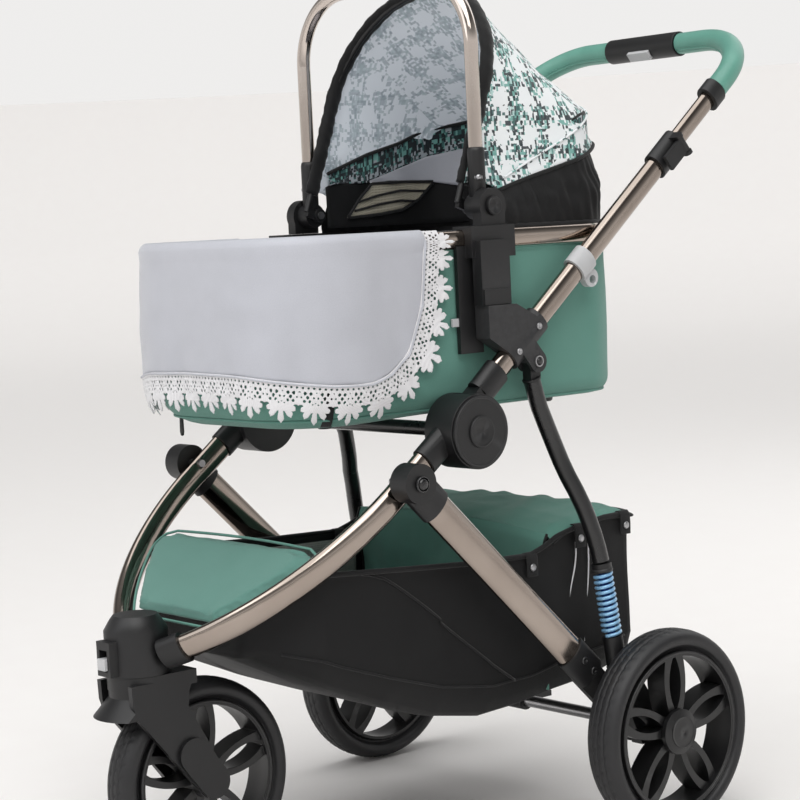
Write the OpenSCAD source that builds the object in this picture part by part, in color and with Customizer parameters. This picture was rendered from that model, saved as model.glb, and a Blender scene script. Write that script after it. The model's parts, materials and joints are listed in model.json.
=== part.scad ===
// Pet stroller: a folding tube frame with a rear axle, one swivelling front wheel,
// a lift-off bassinet with a folding canopy, a carry arch and a basket below.
// Millimetres. +X is the stroller's left, the front faces -Y, Z = 0 is the floor.
// Points in a side plane are written [y, z].

/* [Wheels] */
// Radius of a rear wheel over its tyre
rear_r = 130; // [126:1:131]
// Radius of the front wheel over its tyre
front_r = 125; // [122:1:126]
// Width of a tyre
tyre_w = 50; // [46:1:50]
// Radial thickness of a tyre
tyre_t = 26; // [22:1:28]
// Distance from the middle to a rear wheel's middle
track = 293; // [293:1:298]

/* [Frame] */
// Distance from the middle to a frame tube's middle
tube_x = 209; // [208.5:0.1:209.5]
// Slope of the upper tubes in degrees
upper_slope = 39.3; // [38.8:0.1:39.8]
// Slope of the lower tubes in degrees
lower_slope = 37; // [36.8:0.1:37.2]
// Radius of the bend of a lower tube towards the swivel housing
bend_r = 340; // [338:1:342]
// Angle of that bend in degrees
bend_angle = 59.5; // [59:0.1:60]
// Distance from the middle to a rear leg's middle
leg_x = 236; // [236:0.1:236.5]
// Radius of the round knuckle of the fold
knuckle_r = 46; // [44:1:47]

/* [Handle] */
// Length of the fixed upper tube from the frame's corner
upper_len = 526; // [516:1:530]
// Distance along the tubes to the start of the handle's corner
handle_len = 680; // [676:1:690]
// Radius of the handle's corners
handle_bend = 100; // [95:1:104]
// Radius of the soft grip
grip_r = 15; // [14.5:0.1:16]

/* [Bassinet] */
// Distance from the middle to the bassinet's side
bassinet_x = 186; // [185:0.1:186.3]
// Height of the bassinet's floor
bassinet_z = 558; // [556:1:562]
// Height of the middle of the rail on top of the bassinet
rail_z = 768; // [767.8:0.1:768.2]
// Thickness of the bassinet's padded walls
wall = 9; // [6:1:12]

/* [Canopy and arch] */
// Distance from the middle to the front hoop's rod
hoop_x = 153; // [152.5:0.1:153]
// Angle of the front hoop, leaning back from upright
hoop_lean = 19.5; // [19:0.5:21]
// Height of the middle of the carry arch's top
arch_z = 1099; // [1090:1:1102]
// Radius of the carry arch's tube
arch_r = 9; // [8.5:0.1:9]

/* [Hidden] */
$fn = 48;

// Points of the side plane
corner = [-119, 531.6];       // where the lines of the upper and lower tubes meet
fold = [-88, 536];            // pivot of the frame's fold
leg_top = [-197, 485];        // pivot of a rear leg
strut_top = [30, 612];        // eye at the top of a strut
rear_axle = [163, rear_r];    // rear axle
wheel_front = [-366, front_r];// axle of the front wheel
pivot = [-12, 808];           // pivot of the canopy and of the carry arch
swivel_y = -445;              // upright axis of the front wheel's swivel
seam_z = 270;                 // joint between the swivel housing and the fork

// Sizes that several sub-parts share
fit = 0.05;                   // radial play of a pin or axle that turns
seat = 0.1;                   // play of a part in its seat
tube_a = 10.5;                // half width of a frame tube's oval
tube_b = 17;                  // half height of a lower tube's oval
upper_b = 15;                 // half height of an upper tube's oval
inner_a = 8;                  // half width of the handle tube's oval
inner_b = 12.8;               // half height of the handle tube's oval
tube_wall = 1.7;              // wall of every oval tube
sleeve_a = 14;                // half width of a plastic sleeve on a tube
sleeve_b = 19;                // half height of a plastic sleeve on a tube
fold_pin_r = 6;
cheek_x = 187.5;              // inner face of the fold's lower knuckles
leg_pin_r = 5;
strut_pin_r = 4;
axle_r = 8;
stem_r = 11;
pivot_r = 5;
lever_z = 545;                // hinge of a clamp lever, measured along the tube
leg_dir = (rear_axle - leg_top) / norm(rear_axle - leg_top);
leg_angle = atan2(leg_dir[1], leg_dir[0]);
leg_len = norm(rear_axle - leg_top);
strut_foot = [251, 120, 200]; // where a strut's rod enters the axle housing
strut_low = [243, 104, 350];  // lower end of a strut's tube
strut_dir = (strut_foot - strut_low) / norm(strut_foot - strut_low);
slide_up = 10;                // travel of the rear axle on its springs

C_BRONZE = [0.45, 0.36, 0.29];
C_BLACK = [0.10, 0.10, 0.11];
C_GREEN = [0.42, 0.62, 0.57];
C_GREY = [0.72, 0.73, 0.74];
C_BLUE = [0.45, 0.62, 0.80];
C_PRINT = [0.86, 0.89, 0.91];
C_CLOTH_GREY = [0.69, 0.70, 0.74];
C_CHROME = [0.80, 0.81, 0.83];

// ---- Helpers ----

module both() {
    children();
    mirror([1, 0, 0]) children();
}

// The same shape on the stroller's left (side = 1) or right (side = -1)
module on_side(side) {
    mirror([side < 0 ? 1 : 0, 0, 0]) children();
}

// Z runs up along the upper tubes from the frame's corner, -Y faces up and forward
module on_upper() {
    translate([0, corner[0], corner[1]]) rotate([upper_slope - 90, 0, 0]) children();
}

// Z runs down along the lower tubes from the frame's corner, +Y faces up and forward
module on_lower() {
    translate([0, corner[0], corner[1]]) rotate([lower_slope + 90, 0, 0]) children();
}

// Z runs down along a rear leg from its pivot
module on_leg() {
    translate([leg_x, leg_top[0], leg_top[1]]) rotate([leg_angle - 90, 0, 0]) children();
}

// A cylinder along X round a point of the side plane
module rod_x(p, r, x0, x1) {
    translate([x0, p[0], p[1]]) rotate([0, 90, 0]) cylinder(r = r, h = x1 - x0);
}

// A plate between x0 and x1 from an outline of [y, z] points
module plate_x(points, x0, x1) {
    translate([x0, 0, 0]) rotate([90, 0, 90]) linear_extrude(x1 - x0) polygon(points);
}

module box(lo, hi) {
    translate(lo) cube(hi - lo);
}

module oval(a, b) {
    polygon([for (i = [0:23]) [a * cos(i * 15), b * sin(i * 15)]]);
}

module oval_ring(a, b, hole_a, hole_b) {
    difference() {
        oval(a, b);
        oval(hole_a, hole_b);
    }
}

// A sleeve along Z with an oval hole, at the tube's distance from the middle
module sleeve(z0, z1, hole_a, hole_b) {
    translate([tube_x, 0, z0]) linear_extrude(z1 - z0)
        oval_ring(sleeve_a, sleeve_b, hole_a, hole_b);
}

// An arc of [x, y] points
function arc(cx, cy, r, a0, a1, n = 8) =
    [for (i = [0:n]) [cx + r * cos(a0 + (a1 - a0) * i / n), cy + r * sin(a0 + (a1 - a0) * i / n)]];

// A cylinder along a direction from a point
module along(from, dir, h, r) {
    translate(from) rotate([0, acos(dir[2]), atan2(dir[1], dir[0])]) cylinder(r = r, h = h);
}

// ---- Lower frame ----

// Path of a lower tube: a straight piece and an arc towards the middle
module lower_path(a, b, hole_a, hole_b, start, angle0 = 0) {
    on_lower() {
        if (start < 100)
            translate([tube_x, 0, start]) linear_extrude(100 - start)
                oval_ring(a, b, hole_a, hole_b);
        translate([tube_x - bend_r, 0, 100]) rotate([90, 0, 0])
            rotate([0, 0, angle0]) rotate_extrude(angle = bend_angle - angle0, $fn = 96)
                translate([bend_r, 0]) oval_ring(a, b, hole_a, hole_b);
    }
}

module front_tube(side) {
    color(C_BRONZE) on_side(side) difference() {
        lower_path(tube_a, tube_b, tube_a - tube_wall, tube_b - tube_wall, 12);
        rod_x(leg_top, leg_pin_r + seat, 190, 230);
    }
}

module front_tube_left() { front_tube(1); }
module front_tube_right() { front_tube(-1); }

module lower_knuckles() {
    arm_0 = 196;
    arm_1 = 222;
    color(C_BLACK) both() difference() {
        union() {
            rod_x(fold, knuckle_r, cheek_x, 237);
            on_lower() translate([tube_x, 0, 0]) linear_extrude(46)
                oval(sleeve_a, sleeve_b);
        }
        on_lower() translate([tube_x, 0, 11.8]) linear_extrude(60)
            oval(tube_a + seat, tube_b + seat);
        rod_x(fold, knuckle_r - 9, arm_0, arm_1);
        // room for the upper arm through its whole travel
        plate_x(concat([fold], arc(fold[0], fold[1], 70, -6, 96)), arm_0, arm_1);
        rod_x(fold, fold_pin_r + fit, 170, 240);
    }
}

module hub_discs() {
    color(C_BLACK) both() {
        rod_x(fold, knuckle_r - 2, 237.1, 240);
        rod_x(fold, 20, 240, 242);
    }
}

module fold_pins() {
    color(C_GREY) both() rod_x(fold, fold_pin_r, cheek_x, 237);
}

module front_crossbar() {
    color(C_BLACK) difference() {
        rod_x(fold, 9, -cheek_x, cheek_x);
        rod_x(fold, 7.2, -200, 200);
    }
}

module swivel_housing() {
    color(C_BLACK) difference() {
        union() {
            translate([0, swivel_y, seam_z]) {
                cylinder(r = 39, h = 53);
                translate([0, 0, 53]) cylinder(r1 = 39, r2 = 31, h = 13);
                translate([0, 0, 66]) cylinder(r1 = 31, r2 = 27, h = 5);
            }
            both() lower_path(sleeve_a, tube_b + 4, 0.5, 0.5, 100, 54.5);
            // guide of the swivel lock
            box([-14, swivel_y - 48, seam_z + 2], [14, swivel_y - 30, seam_z + 44]);
        }
        // the tubes' ends
        both() lower_path(tube_a + seat, tube_b + seat, 0.4, 0.4, 100, 50);
        both() lower_path(0.5, 0.5, 0.1, 0.1, 100, 50);
        // bore of the fork's stem
        translate([0, swivel_y, seam_z - 1]) cylinder(r = stem_r + fit, h = 58);
        // pocket of the swivel lock
        box([-8.3, swivel_y - 50, seam_z + 8], [8.3, swivel_y - 38, seam_z + 34]);
    }
}

module swivel_lock() {
    color(C_GREY) box([-8, swivel_y - 52, seam_z + 10], [8, swivel_y - 38.5, seam_z + 24]);
}

// A panel that lies between the lower tubes, near the swivel housing
module footrest() {
    reach = bend_r - tube_a - 0.8;
    color(C_GREEN) on_lower() translate([0, 6, 0]) rotate([90, 0, 0]) linear_extrude(12)
        intersection() {
            translate([tube_x - bend_r, 100]) circle(r = reach, $fn = 120);
            translate([bend_r - tube_x, 100]) circle(r = reach, $fn = 120);
            translate([-200, 203]) square([400, 146]);
        }
}

module leg_pins() {
    color(C_GREY) both() {
        rod_x(leg_top, leg_pin_r, 197, 252);
        rod_x(leg_top, 9, 252, 255);
    }
}

// Half width of the basket at a given y, narrower between the bent tubes
basket_plan = [[93, -368], [112, -345], [166, -289], [190, -200], [197, -60], [197, 222]];
lid_line = [[58, 378], [110, 394], [160, 399], [221, 396]];
basket_top = concat([
    [-368, 307], [-352, 345], [-289, 382], [-200, 378], [-84, 370], [52, 361]
], lid_line);
basket_bottom = [
    [222, 200], [150, 181], [87, 176], [20, 168], [-46, 165], [-129, 180],
    [-208, 210], [-272, 238], [-345, 280]
];

module basket_zone(inset) {
    half = [for (p = basket_plan) [p[0] - inset, p[1]]];
    other = [for (i = [len(half) - 1:-1:0]) [-half[i][0], half[i][1]]];
    translate([0, 0, 100]) linear_extrude(400) polygon(concat(half, other));
}

module basket_shell() {
    color(C_BLACK) difference() {
        intersection() {
            plate_x(concat(basket_top, basket_bottom), -200, 200);
            basket_zone(0);
        }
        // the hollow, open at the top
        intersection() {
            plate_x(concat(
                [[-350, 307], [-340, 500], [216, 500]],
                [for (p = basket_bottom) [p[0] * 0.975, p[1] + 6]]
            ), -200, 200);
            basket_zone(6);
        }
    }
}

module basket_lid() {
    under = [for (p = lid_line) p + [0, 0.5]];
    over = [for (i = [len(under) - 1:-1:0]) under[i] + [0, 6]];
    color(C_GREEN) {
        intersection() {
            plate_x(concat(under, over), -200, 200);
            basket_zone(0);
        }
        // front wall that hangs down into the basket
        intersection() {
            box([-200, 58, 181], [200, 63, 380]);
            basket_zone(6.5);
        }
    }
}

// ---- Upper frame ----

module upper_tube(side) {
    color(C_BRONZE) on_side(side) difference() {
        on_upper() translate([tube_x, 0, 82]) linear_extrude(upper_len - 82)
            oval_ring(tube_a, upper_b, tube_a - tube_wall, upper_b - tube_wall);
    }
}

module upper_tube_left() { upper_tube(1); }
module upper_tube_right() { upper_tube(-1); }

module upper_knuckles() {
    color(C_BLACK) both() difference() {
        union() {
            rod_x(fold, knuckle_r - 10, 196.4, 221.6);
            on_upper() translate([197, -12, 30]) cube([24, 29, 48]);
            on_upper() translate([tube_x, 0, 74]) linear_extrude(41)
                oval(sleeve_a, sleeve_b);
        }
        on_upper() translate([tube_x, 0, 81.8]) linear_extrude(60)
            oval(tube_a + seat, upper_b + seat);
        rod_x(fold, fold_pin_r + fit, 170, 240);
    }
}

module mid_sockets() {
    receiver = [[-50, 686], [-3, 686], [32, 668], [8, 632], [-12, 622], [-50, 646]];
    color(C_BLACK) both() difference() {
        union() {
            on_upper() translate([tube_x, 0, 138]) linear_extrude(71)
                oval(sleeve_a, sleeve_b);
            plate_x(receiver, 196.5, 221.5);
            // lobe that carries the strut's eye
            rod_x(strut_top, 14, 196, 222);
            on_upper() translate([196, 0, 153]) cube([26, 34, 27]);
        }
        on_upper() translate([tube_x, 0, 100]) linear_extrude(140)
            oval(tube_a + seat, upper_b + seat);
        // room for the strut's eye
        rod_x(strut_top, 13.2, 201, 217);
        plate_x([[14, 612], [14, 590], [60, 590], [50, 612]], 201, 217);
        rod_x(strut_top, strut_pin_r + seat, 190, 230);
        // slot for the bassinet's tongue
        box([203.7, -46.3, 655], [214.3, -11.7, 690]);
    }
}

module strut_pins() {
    color(C_GREY) both() {
        rod_x(strut_top, strut_pin_r, 196, 222);
        rod_x(strut_top, 7, 222.05, 224);
    }
}

module tube_clamps() {
    color(C_BLACK) both() on_upper() difference() {
        union() {
            translate([tube_x, 0, 500]) linear_extrude(52) oval(sleeve_a, sleeve_b);
            translate([tube_x + 8, -16, lever_z - 6]) cube([11.5, 32, 12]);
            translate([tube_x + 19.5, -16, lever_z]) rotate([-90, 0, 0])
                cylinder(r = 6, h = 32);
        }
        translate([tube_x, 0, 490]) linear_extrude(upper_len - 490 + 0.2)
            oval(tube_a + seat, upper_b + seat);
        translate([tube_x, 0, upper_len]) linear_extrude(60)
            oval(inner_a + seat, inner_b + seat);
        // room for the lever between the two ears
        translate([tube_x + 14.3, -11.5, lever_z - 8]) cube([20, 23, 16]);
    }
    color(C_GREY) both() on_upper() translate([tube_x + 19.5, -11.5, lever_z])
        rotate([-90, 0, 0]) cylinder(r = 2.5, h = 23);
}

module clamp_lever(side) {
    color(C_BLACK) on_side(side) on_upper() difference() {
        union() {
            translate([tube_x + 19.5, -11.2, lever_z]) rotate([-90, 0, 0])
                cylinder(r = 4.6, h = 22.4);
            translate([tube_x + 17.5, -11.2, lever_z - 40]) cube([5, 22.4, 40]);
        }
        translate([tube_x + 19.5, -20, lever_z]) rotate([-90, 0, 0])
            cylinder(r = 2.5 + fit, h = 40);
    }
}

module clamp_lever_left() { clamp_lever(1); }
module clamp_lever_right() { clamp_lever(-1); }

// Ring clips on the upper tubes, each with an eye for a bag or a cup holder
module accessory_clips() {
    color(C_GREY) both() on_upper() difference() {
        union() {
            translate([tube_x, 0, 298]) linear_extrude(28) oval(sleeve_a, sleeve_b);
            translate([tube_x - 5, 24, 312]) rotate([0, 90, 0]) cylinder(r = 12, h = 10);
        }
        translate([tube_x, 0, 290]) linear_extrude(40)
            oval(tube_a + seat, upper_b + seat);
        translate([tube_x - 20, 27, 312]) rotate([0, 90, 0]) cylinder(r = 5.5, h = 40);
    }
}

// ---- Handle ----

module handle_ring(a, b, hole_a, hole_b, z0, x0) {
    both() {
        translate([tube_x, 0, z0]) linear_extrude(handle_len - z0)
            oval_ring(a, b, hole_a, hole_b);
        translate([tube_x - handle_bend, 0, handle_len]) rotate([90, 0, 0])
            rotate_extrude(angle = 90, $fn = 64) translate([handle_bend, 0])
                oval_ring(a, b, hole_a, hole_b);
        translate([x0, 0, handle_len + handle_bend]) rotate([0, 90, 0])
            linear_extrude(tube_x - handle_bend - x0)
                oval_ring(a, b, hole_a, hole_b);
    }
}

module handle_bar() {
    color(C_BRONZE) on_upper()
        handle_ring(inner_a, inner_b, inner_a - tube_wall, inner_b - tube_wall, 346, 0);
}

module handle_grips() {
    color(C_GREEN) on_upper()
        handle_ring(grip_r, grip_r, inner_a + seat, inner_b + seat, 661, 66.5);
}

module handle_collars() {
    color(C_BLACK) on_upper() both() sleeve(638, 660.8, inner_a + seat, inner_b + seat);
}

module handle_centre() {
    color(C_BLACK) on_upper() difference() {
        translate([-66, 0, handle_len + handle_bend]) rotate([0, 90, 0])
            linear_extrude(132) difference() {
                circle(r = 17.5);
                oval(inner_a + seat, inner_b + seat);
            }
        // pocket of the button, on the side that the fingers reach
        translate([-20.2, -7.2, handle_len + handle_bend - 30]) cube([40.4, 14.4, 21.2]);
    }
}

module handle_button() {
    color(C_GREY) on_upper() translate([-20, -7, handle_len + handle_bend - 21])
        cube([40, 14, 8]);
}

// ---- Rear legs ----

module leg_tube(side) {
    color(C_BRONZE) on_side(side) difference() {
        on_leg() translate([0, 0, 14]) linear_extrude(361)
            oval_ring(12, 21, 12 - tube_wall, 21 - tube_wall);
    }
}

module leg_tube_left() { leg_tube(1); }
module leg_tube_right() { leg_tube(-1); }

module leg_caps() {
    color(C_BLACK) both() difference() {
        union() {
            rod_x(leg_top, 24, 221.5, 250.5);
            on_leg() linear_extrude(46) oval(14.5, 23.5);
        }
        on_leg() translate([0, 0, 13.8]) linear_extrude(60) oval(12 + seat, 21 + seat);
        rod_x(leg_top, leg_pin_r + fit, 200, 260);
    }
}

// Lower end of a leg: a sleeve and a slotted plate in which the axle rides up and down
module leg_sleeves() {
    up = [-strut_dir[1], -strut_dir[2]];
    color(C_BLACK) both() difference() {
        union() {
            on_leg() translate([0, 0, 345]) linear_extrude(47) oval(14.5, 23.5);
            on_leg() translate([-12, -20, 380]) cube([8, 40, leg_len - 380]);
            rod_x(rear_axle, 24, leg_x - 12, leg_x - 4);
        }
        on_leg() translate([0, 0, 300]) linear_extrude(75.2) oval(12 + seat, 21 + seat);
        for (t = [0, 5, slide_up]) rod_x(rear_axle + t * up, axle_r + 0.6, 215, 240);
        plate_x([
            rear_axle + [-axle_r - 0.5, 0], rear_axle + [axle_r + 0.5, 0],
            rear_axle + slide_up * up + [axle_r + 0.5, 0],
            rear_axle + slide_up * up + [-axle_r - 0.5, 0]
        ], 215, 240);
    }
}

// Centre line of a strut's tube
strut_path = [
    [209, 29.15, 588.1], [209, 34, 572], [209, 40, 553], [210, 52, 525], [211, 62, 502],
    [215, 68, 482], [220, 74, 463], [227, 80, 444], [232, 87, 424], [236, 92, 406],
    [239.5, 97, 386], [241.5, 101, 368], [243, 104, 351]
];

// A hollow tube along a path, with n sides
module swept_tube(path, r, bore, n) {
    last = len(path) - 1;
    dirs = [for (i = [0:last]) let (d = path[min(i + 1, last)] - path[max(i - 1, 0)]) d / norm(d)];
    ring = function (i, rad) let (
        u = cross(dirs[i], [0, 1, 0]) / norm(cross(dirs[i], [0, 1, 0])), v = cross(dirs[i], u)
    ) [for (k = [0:n - 1]) path[i] + rad * (cos(360 * k / n) * u + sin(360 * k / n) * v)];
    outer = [for (i = [0:last]) each ring(i, r)];
    inner = [for (i = [0:last]) each ring(i, bore)];
    m = len(outer);
    wall = [for (i = [0:last - 1], k = [0:n - 1])
        [i * n + k, i * n + (k + 1) % n, (i + 1) * n + (k + 1) % n, (i + 1) * n + k]];
    ends = [for (k = [0:n - 1]) each [
        [(k + 1) % n, k, m + k, m + (k + 1) % n],
        [last * n + k, last * n + (k + 1) % n, m + last * n + (k + 1) % n, m + last * n + k]
    ]];
    faces = concat(wall, [for (f = wall) [m + f[3], m + f[2], m + f[1], m + f[0]]], ends);
    polyhedron(concat(outer, inner), faces);
}

module strut_tubes() {
    color(C_BLACK) both() swept_tube(strut_path, 11, 9.3, 20);
}

// Eye at the top and collar at the foot of each strut. The eye has play on its pin.
module strut_ends() {
    top_dir = (strut_path[1] - strut_path[0]) / norm(strut_path[1] - strut_path[0]);
    color(C_BLACK) both() {
        difference() {
            union() {
                rod_x(strut_top, 10.5, 201.6, 216.4);
                plate_x([[21, 587.1], [38, 592.2], [38, 612], [21, 612]], 201.6, 216.4);
                along(strut_path[0] - 2.6 * top_dir, top_dir, 2.5, 12);
            }
            rod_x(strut_top, strut_pin_r + 3.2, 190, 230);
        }
        along(strut_low + 1.1 * strut_dir, strut_dir, 8, 13);
    }
}

module strut_rods() {
    color(C_BLUE) both()
        along(strut_low + 9.2 * strut_dir, strut_dir, 116, 6);
}

// ---- Rear axle ----

module axle_housings() {
    block = [
        [106, 215], [131, 215], [152, 192], [184, 143], [182, 112], [148, 108],
        [136, 134], [112, 190]
    ];
    color(C_BLACK) both() difference() {
        union() {
            plate_x(block, 243, 262);
            along(strut_foot - 54 * strut_dir, strut_dir, 62, 13);
        }
        along(strut_foot - 60 * strut_dir, strut_dir, 55, 7.2);
        rod_x(rear_axle, axle_r + 0.02, 230, 270);
    }
}

module axle_tube() {
    color(C_GREY) rod_x(rear_axle, axle_r, -312, 312);
}

// Helical spring between a strut's collar and the axle housing
module coil_springs() {
    turns = 8;
    steps = 14;
    wire = 1.9;
    coil_r = 11.2;
    top = strut_low + 11.5 * strut_dir;
    length = 82;
    u = cross(strut_dir, [1, 0, 0]) / norm(cross(strut_dir, [1, 0, 0]));
    v = cross(strut_dir, u);
    path = [for (i = [0:turns * steps]) let (a = 360 * i / steps)
        top + coil_r * (cos(a) * u + sin(a) * v) + strut_dir * (length * i / (turns * steps))];
    ring = [for (i = [0:turns * steps]) let (a = 360 * i / steps,
        out = cos(a) * u + sin(a) * v)
        each [for (k = [0:5]) path[i] + wire * (cos(60 * k) * out + sin(60 * k) * strut_dir)]];
    last = turns * steps;
    faces = concat(
        [for (i = [0:last - 1], k = [0:5])
            [i * 6 + k, (i + 1) * 6 + k, (i + 1) * 6 + (k + 1) % 6, i * 6 + (k + 1) % 6]],
        [[for (k = [0:5]) k], [for (k = [5:-1:0]) last * 6 + k]]
    );
    color(C_BLUE) both() polyhedron(ring, faces);
}

// Foot pedal on a sleeve that turns on the axle
module brake_pedal() {
    color(C_BLACK) difference() {
        union() {
            rod_x(rear_axle, 13, -32, 32);
            box([-28, rear_axle[0], rear_axle[1] - 3], [28, rear_axle[0] + 52, rear_axle[1] + 5]);
        }
        rod_x(rear_axle, axle_r + fit, -40, 40);
    }
}

// ---- Wheels ----

// A wheel's outline turns about X through the wheel's centre
module turned_x(points) {
    rotate([0, 90, 0]) rotate_extrude($fn = 96)
        polygon(points);
}

module tyre(r) {
    mid = r - tyre_t / 2;
    profile = concat(
        [[r - tyre_t, -16], [r - tyre_t, 16]],
        [for (a = [140:-14:-140]) [mid + tyre_t / 2 * cos(a), tyre_w / 2 * sin(a)]]
    );
    color(C_BLACK) turned_x(profile);
}

// One double spoke of a rim, from the hub out to r_out, with a leaf-shaped hole
module spoke(r_out) {
    steps = 8;
    hub_in = 18;
    widest = 66;
    leaf = [62, 37, 10.5]; // middle, half length and half width of the hole
    round_r = (leaf[1] * leaf[1] + leaf[2] * leaf[2]) / (2 * leaf[2]);
    side = [for (i = [0:steps]) let (r = hub_in + (r_out - hub_in) * i / steps)
        [r, 19.5 - 0.0042 * (r - widest) * (r - widest)]];
    difference() {
        polygon(concat(side, [for (i = [steps:-1:0]) [side[i][0], -side[i][1]]]));
        intersection_for(s = [-1, 1])
            translate([leaf[0], s * (round_r - leaf[2])]) circle(r = round_r, $fn = 90);
    }
}

module rim(r, bore, hub_half) {
    rim_r = r - tyre_t - 0.1;
    color(C_BLACK) difference() {
        union() {
            turned_x([
                [rim_r, -15], [rim_r, 15], [rim_r - 3, 21], [rim_r - 7, 21],
                [rim_r - 6, 0], [rim_r - 7, -21], [rim_r - 3, -21]
            ]);
            rod_x([0, 0], 22, -hub_half, hub_half);
            for (i = [0:4]) rotate([90 + 72 * i, 0, 0]) rotate([90, 0, 90])
                translate([0, 0, -15]) linear_extrude(30) spoke(rim_r - 4.5);
        }
        rod_x([0, 0], bore, -hub_half - 1, hub_half + 1);
    }
}

module rear_tyre_left() { translate([track, rear_axle[0], rear_axle[1]]) tyre(rear_r); }
module rear_tyre_right() { translate([-track, rear_axle[0], rear_axle[1]]) tyre(rear_r); }

module rear_rim_at(side) {
    on_side(side) translate([track, rear_axle[0], rear_axle[1]]) {
        rim(rear_r, axle_r + fit, 19.5);
        // domed hub cap
        color(C_BLACK) difference() {
            union() {
                rod_x([0, 0], 29, 16, 22);
                translate([22, 0, 0]) rotate([0, 90, 0]) cylinder(r1 = 29, r2 = 20, h = 4);
            }
            rod_x([0, 0], axle_r + fit, 10, 19.5);
        }
    }
}

module rear_rim_left() { rear_rim_at(1); }
module rear_rim_right() { rear_rim_at(-1); }

// ---- Front wheel ----

module fork() {
    cheek = [
        [-480, 262], [-479, 238], [-474, 222], [-423, 159], [-400, 131], [-384, 110],
        [-352, 112], [-348, 128], [-377, 183], [-388, 202], [-400, 226], [-398, 244],
        [-390, 262]
    ];
    top = seam_z - 0.4;
    color(C_BLACK) difference() {
        union() {
            // crown over the wheel
            translate([0, swivel_y, 252]) cylinder(r = 38, h = top - 252);
            box([-38, swivel_y, 252], [38, -386, top]);
            // neck in front of the tyre, flared into a lip
            intersection() {
                union() {
                    translate([0, swivel_y, 226]) cylinder(r = 37, h = 30);
                    translate([0, swivel_y, 220]) cylinder(r1 = 57, r2 = 34, h = 27);
                }
                box([-38, -510, 210], [38, -453, 256]);
            }
            both() {
                plate_x(cheek, 30, 38);
                rod_x(wheel_front, 21, 30, 37.8);
                // long cover over the axle's end
                hull() {
                    rod_x([-371, 129], 21, 37.5, 43);
                    rod_x([-398, 165], 21, 37.5, 43);
                }
            }
            translate([0, swivel_y, 260]) cylinder(r = stem_r, h = seam_z + 54 - 260);
        }
        rod_x(wheel_front, 6.02, -40.1, 40.1);
    }
}

module front_axle() {
    color(C_GREY) rod_x(wheel_front, 6, -40, 40);
}

module front_tyre() { translate([0, wheel_front[0], wheel_front[1]]) tyre(front_r); }

module front_rim() {
    translate([0, wheel_front[0], wheel_front[1]]) rim(front_r, 6 + fit, 27);
}

// ---- Bassinet ----

// Plan outline of the bassinet, wide round corners in front and tighter ones behind
function plan(inset) = let (f = 120 - inset, b = 70 - inset) concat(
    arc(bassinet_x - 120, -209, f, -90, 0), arc(bassinet_x - 70, 162, b, 0, 90),
    arc(70 - bassinet_x, 162, b, 90, 180), arc(120 - bassinet_x, -209, f, 180, 270)
);

module plan_slab(inset, z0, z1) {
    translate([0, 0, z0]) linear_extrude(z1 - z0) polygon(plan(inset));
}

module plan_wall(inset, thick, z0, z1) {
    translate([0, 0, z0]) linear_extrude(z1 - z0) difference() {
        polygon(plan(inset));
        polygon(plan(inset + thick));
    }
}

module bassinet_body() {
    color(C_GREEN) difference() {
        union() {
            plan_slab(8, bassinet_z, bassinet_z + 12);
            plan_slab(0, bassinet_z + 12, rail_z - 14);
        }
        plan_slab(wall, bassinet_z + 12, rail_z);
    }
}

module bassinet_rail() {
    side = 162 + 209;
    color(C_BRONZE) translate([0, 0, rail_z]) {
        for (c = [
            [bassinet_x - 120, -209, 120, -90], [bassinet_x - 70, 162, 70, 0],
            [70 - bassinet_x, 162, 70, 90], [120 - bassinet_x, -209, 120, 180]
        ])
            translate([c[0], c[1], 0]) rotate([0, 0, c[3]]) rotate_extrude(angle = 90, $fn = 64)
                translate([c[2], 0]) oval_ring(7, 12, 5.5, 10.5);
        both() translate([bassinet_x, -209, 0]) rotate([-90, 0, 0]) linear_extrude(side)
            oval_ring(7, 12, 5.5, 10.5);
        translate([120 - bassinet_x, -329, 0]) rotate([0, 90, 0])
            linear_extrude(2 * (bassinet_x - 120)) oval_ring(12, 7, 10.5, 5.5);
        translate([70 - bassinet_x, 232, 0]) rotate([0, 90, 0])
            linear_extrude(2 * (bassinet_x - 70)) oval_ring(12, 7, 10.5, 5.5);
    }
}

module bassinet_brackets() {
    color(C_BLACK) both() difference() {
        union() {
            box([172, -59, 754.6], [206, 14, 784]);
            box([188.5, -59, 745], [206, 14, 784]);
            // outer plate with its two steps
            box([200, -54, 686.4], [216, -6, 766]);
            box([202, -52, 686.4], [218, -8, 706]);
            box([204, -46, 656], [214, -12, 700]);
            // inner plate
            box([188.5, -74, 628], [194.5, -36, 760]);
        }
        translate([bassinet_x, -80, rail_z]) rotate([-90, 0, 0]) linear_extrude(120)
            oval(7 + seat, 12 + seat);
        // channel of the release button
        box([187, -75, 661.8], [192.6, -48, 672.2]);
    }
}

module release_button(side) {
    color(C_GREY) on_side(side) box([188.6, -84, 662], [192.4, -54, 672]);
}

module release_button_left() { release_button(1); }
module release_button_right() { release_button(-1); }

module bassinet_pad() {
    color(C_CLOTH_GREY) plan_slab(wall + 2, bassinet_z + 12.3, bassinet_z + 42);
}

module apron() {
    color(C_CLOTH_GREY) intersection() {
        plan_wall(-4.5, 3.5, 590, 752);
        box([-300, -400, 500], [300, -90, 800]);
    }
}

// Housings on the rail that carry the canopy and the carry arch
module pivot_housings() {
    color(C_BLACK) both() difference() {
        union() {
            rod_x(pivot, 22, 180.3, 196);
            box([180.3, -32, 784.2], [196, 8, 800]);
        }
        rod_x(pivot, 12.2, 186, 200);
        rod_x(pivot, pivot_r + 0.02, 170, 184.1);
    }
}

module pivot_pins() {
    color(C_GREY) both() rod_x(pivot, pivot_r, 146, 184);
}

module arch_button(side) {
    color(C_BLACK) on_side(side) rod_x(pivot, 12, 190.5, 200);
}

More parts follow.
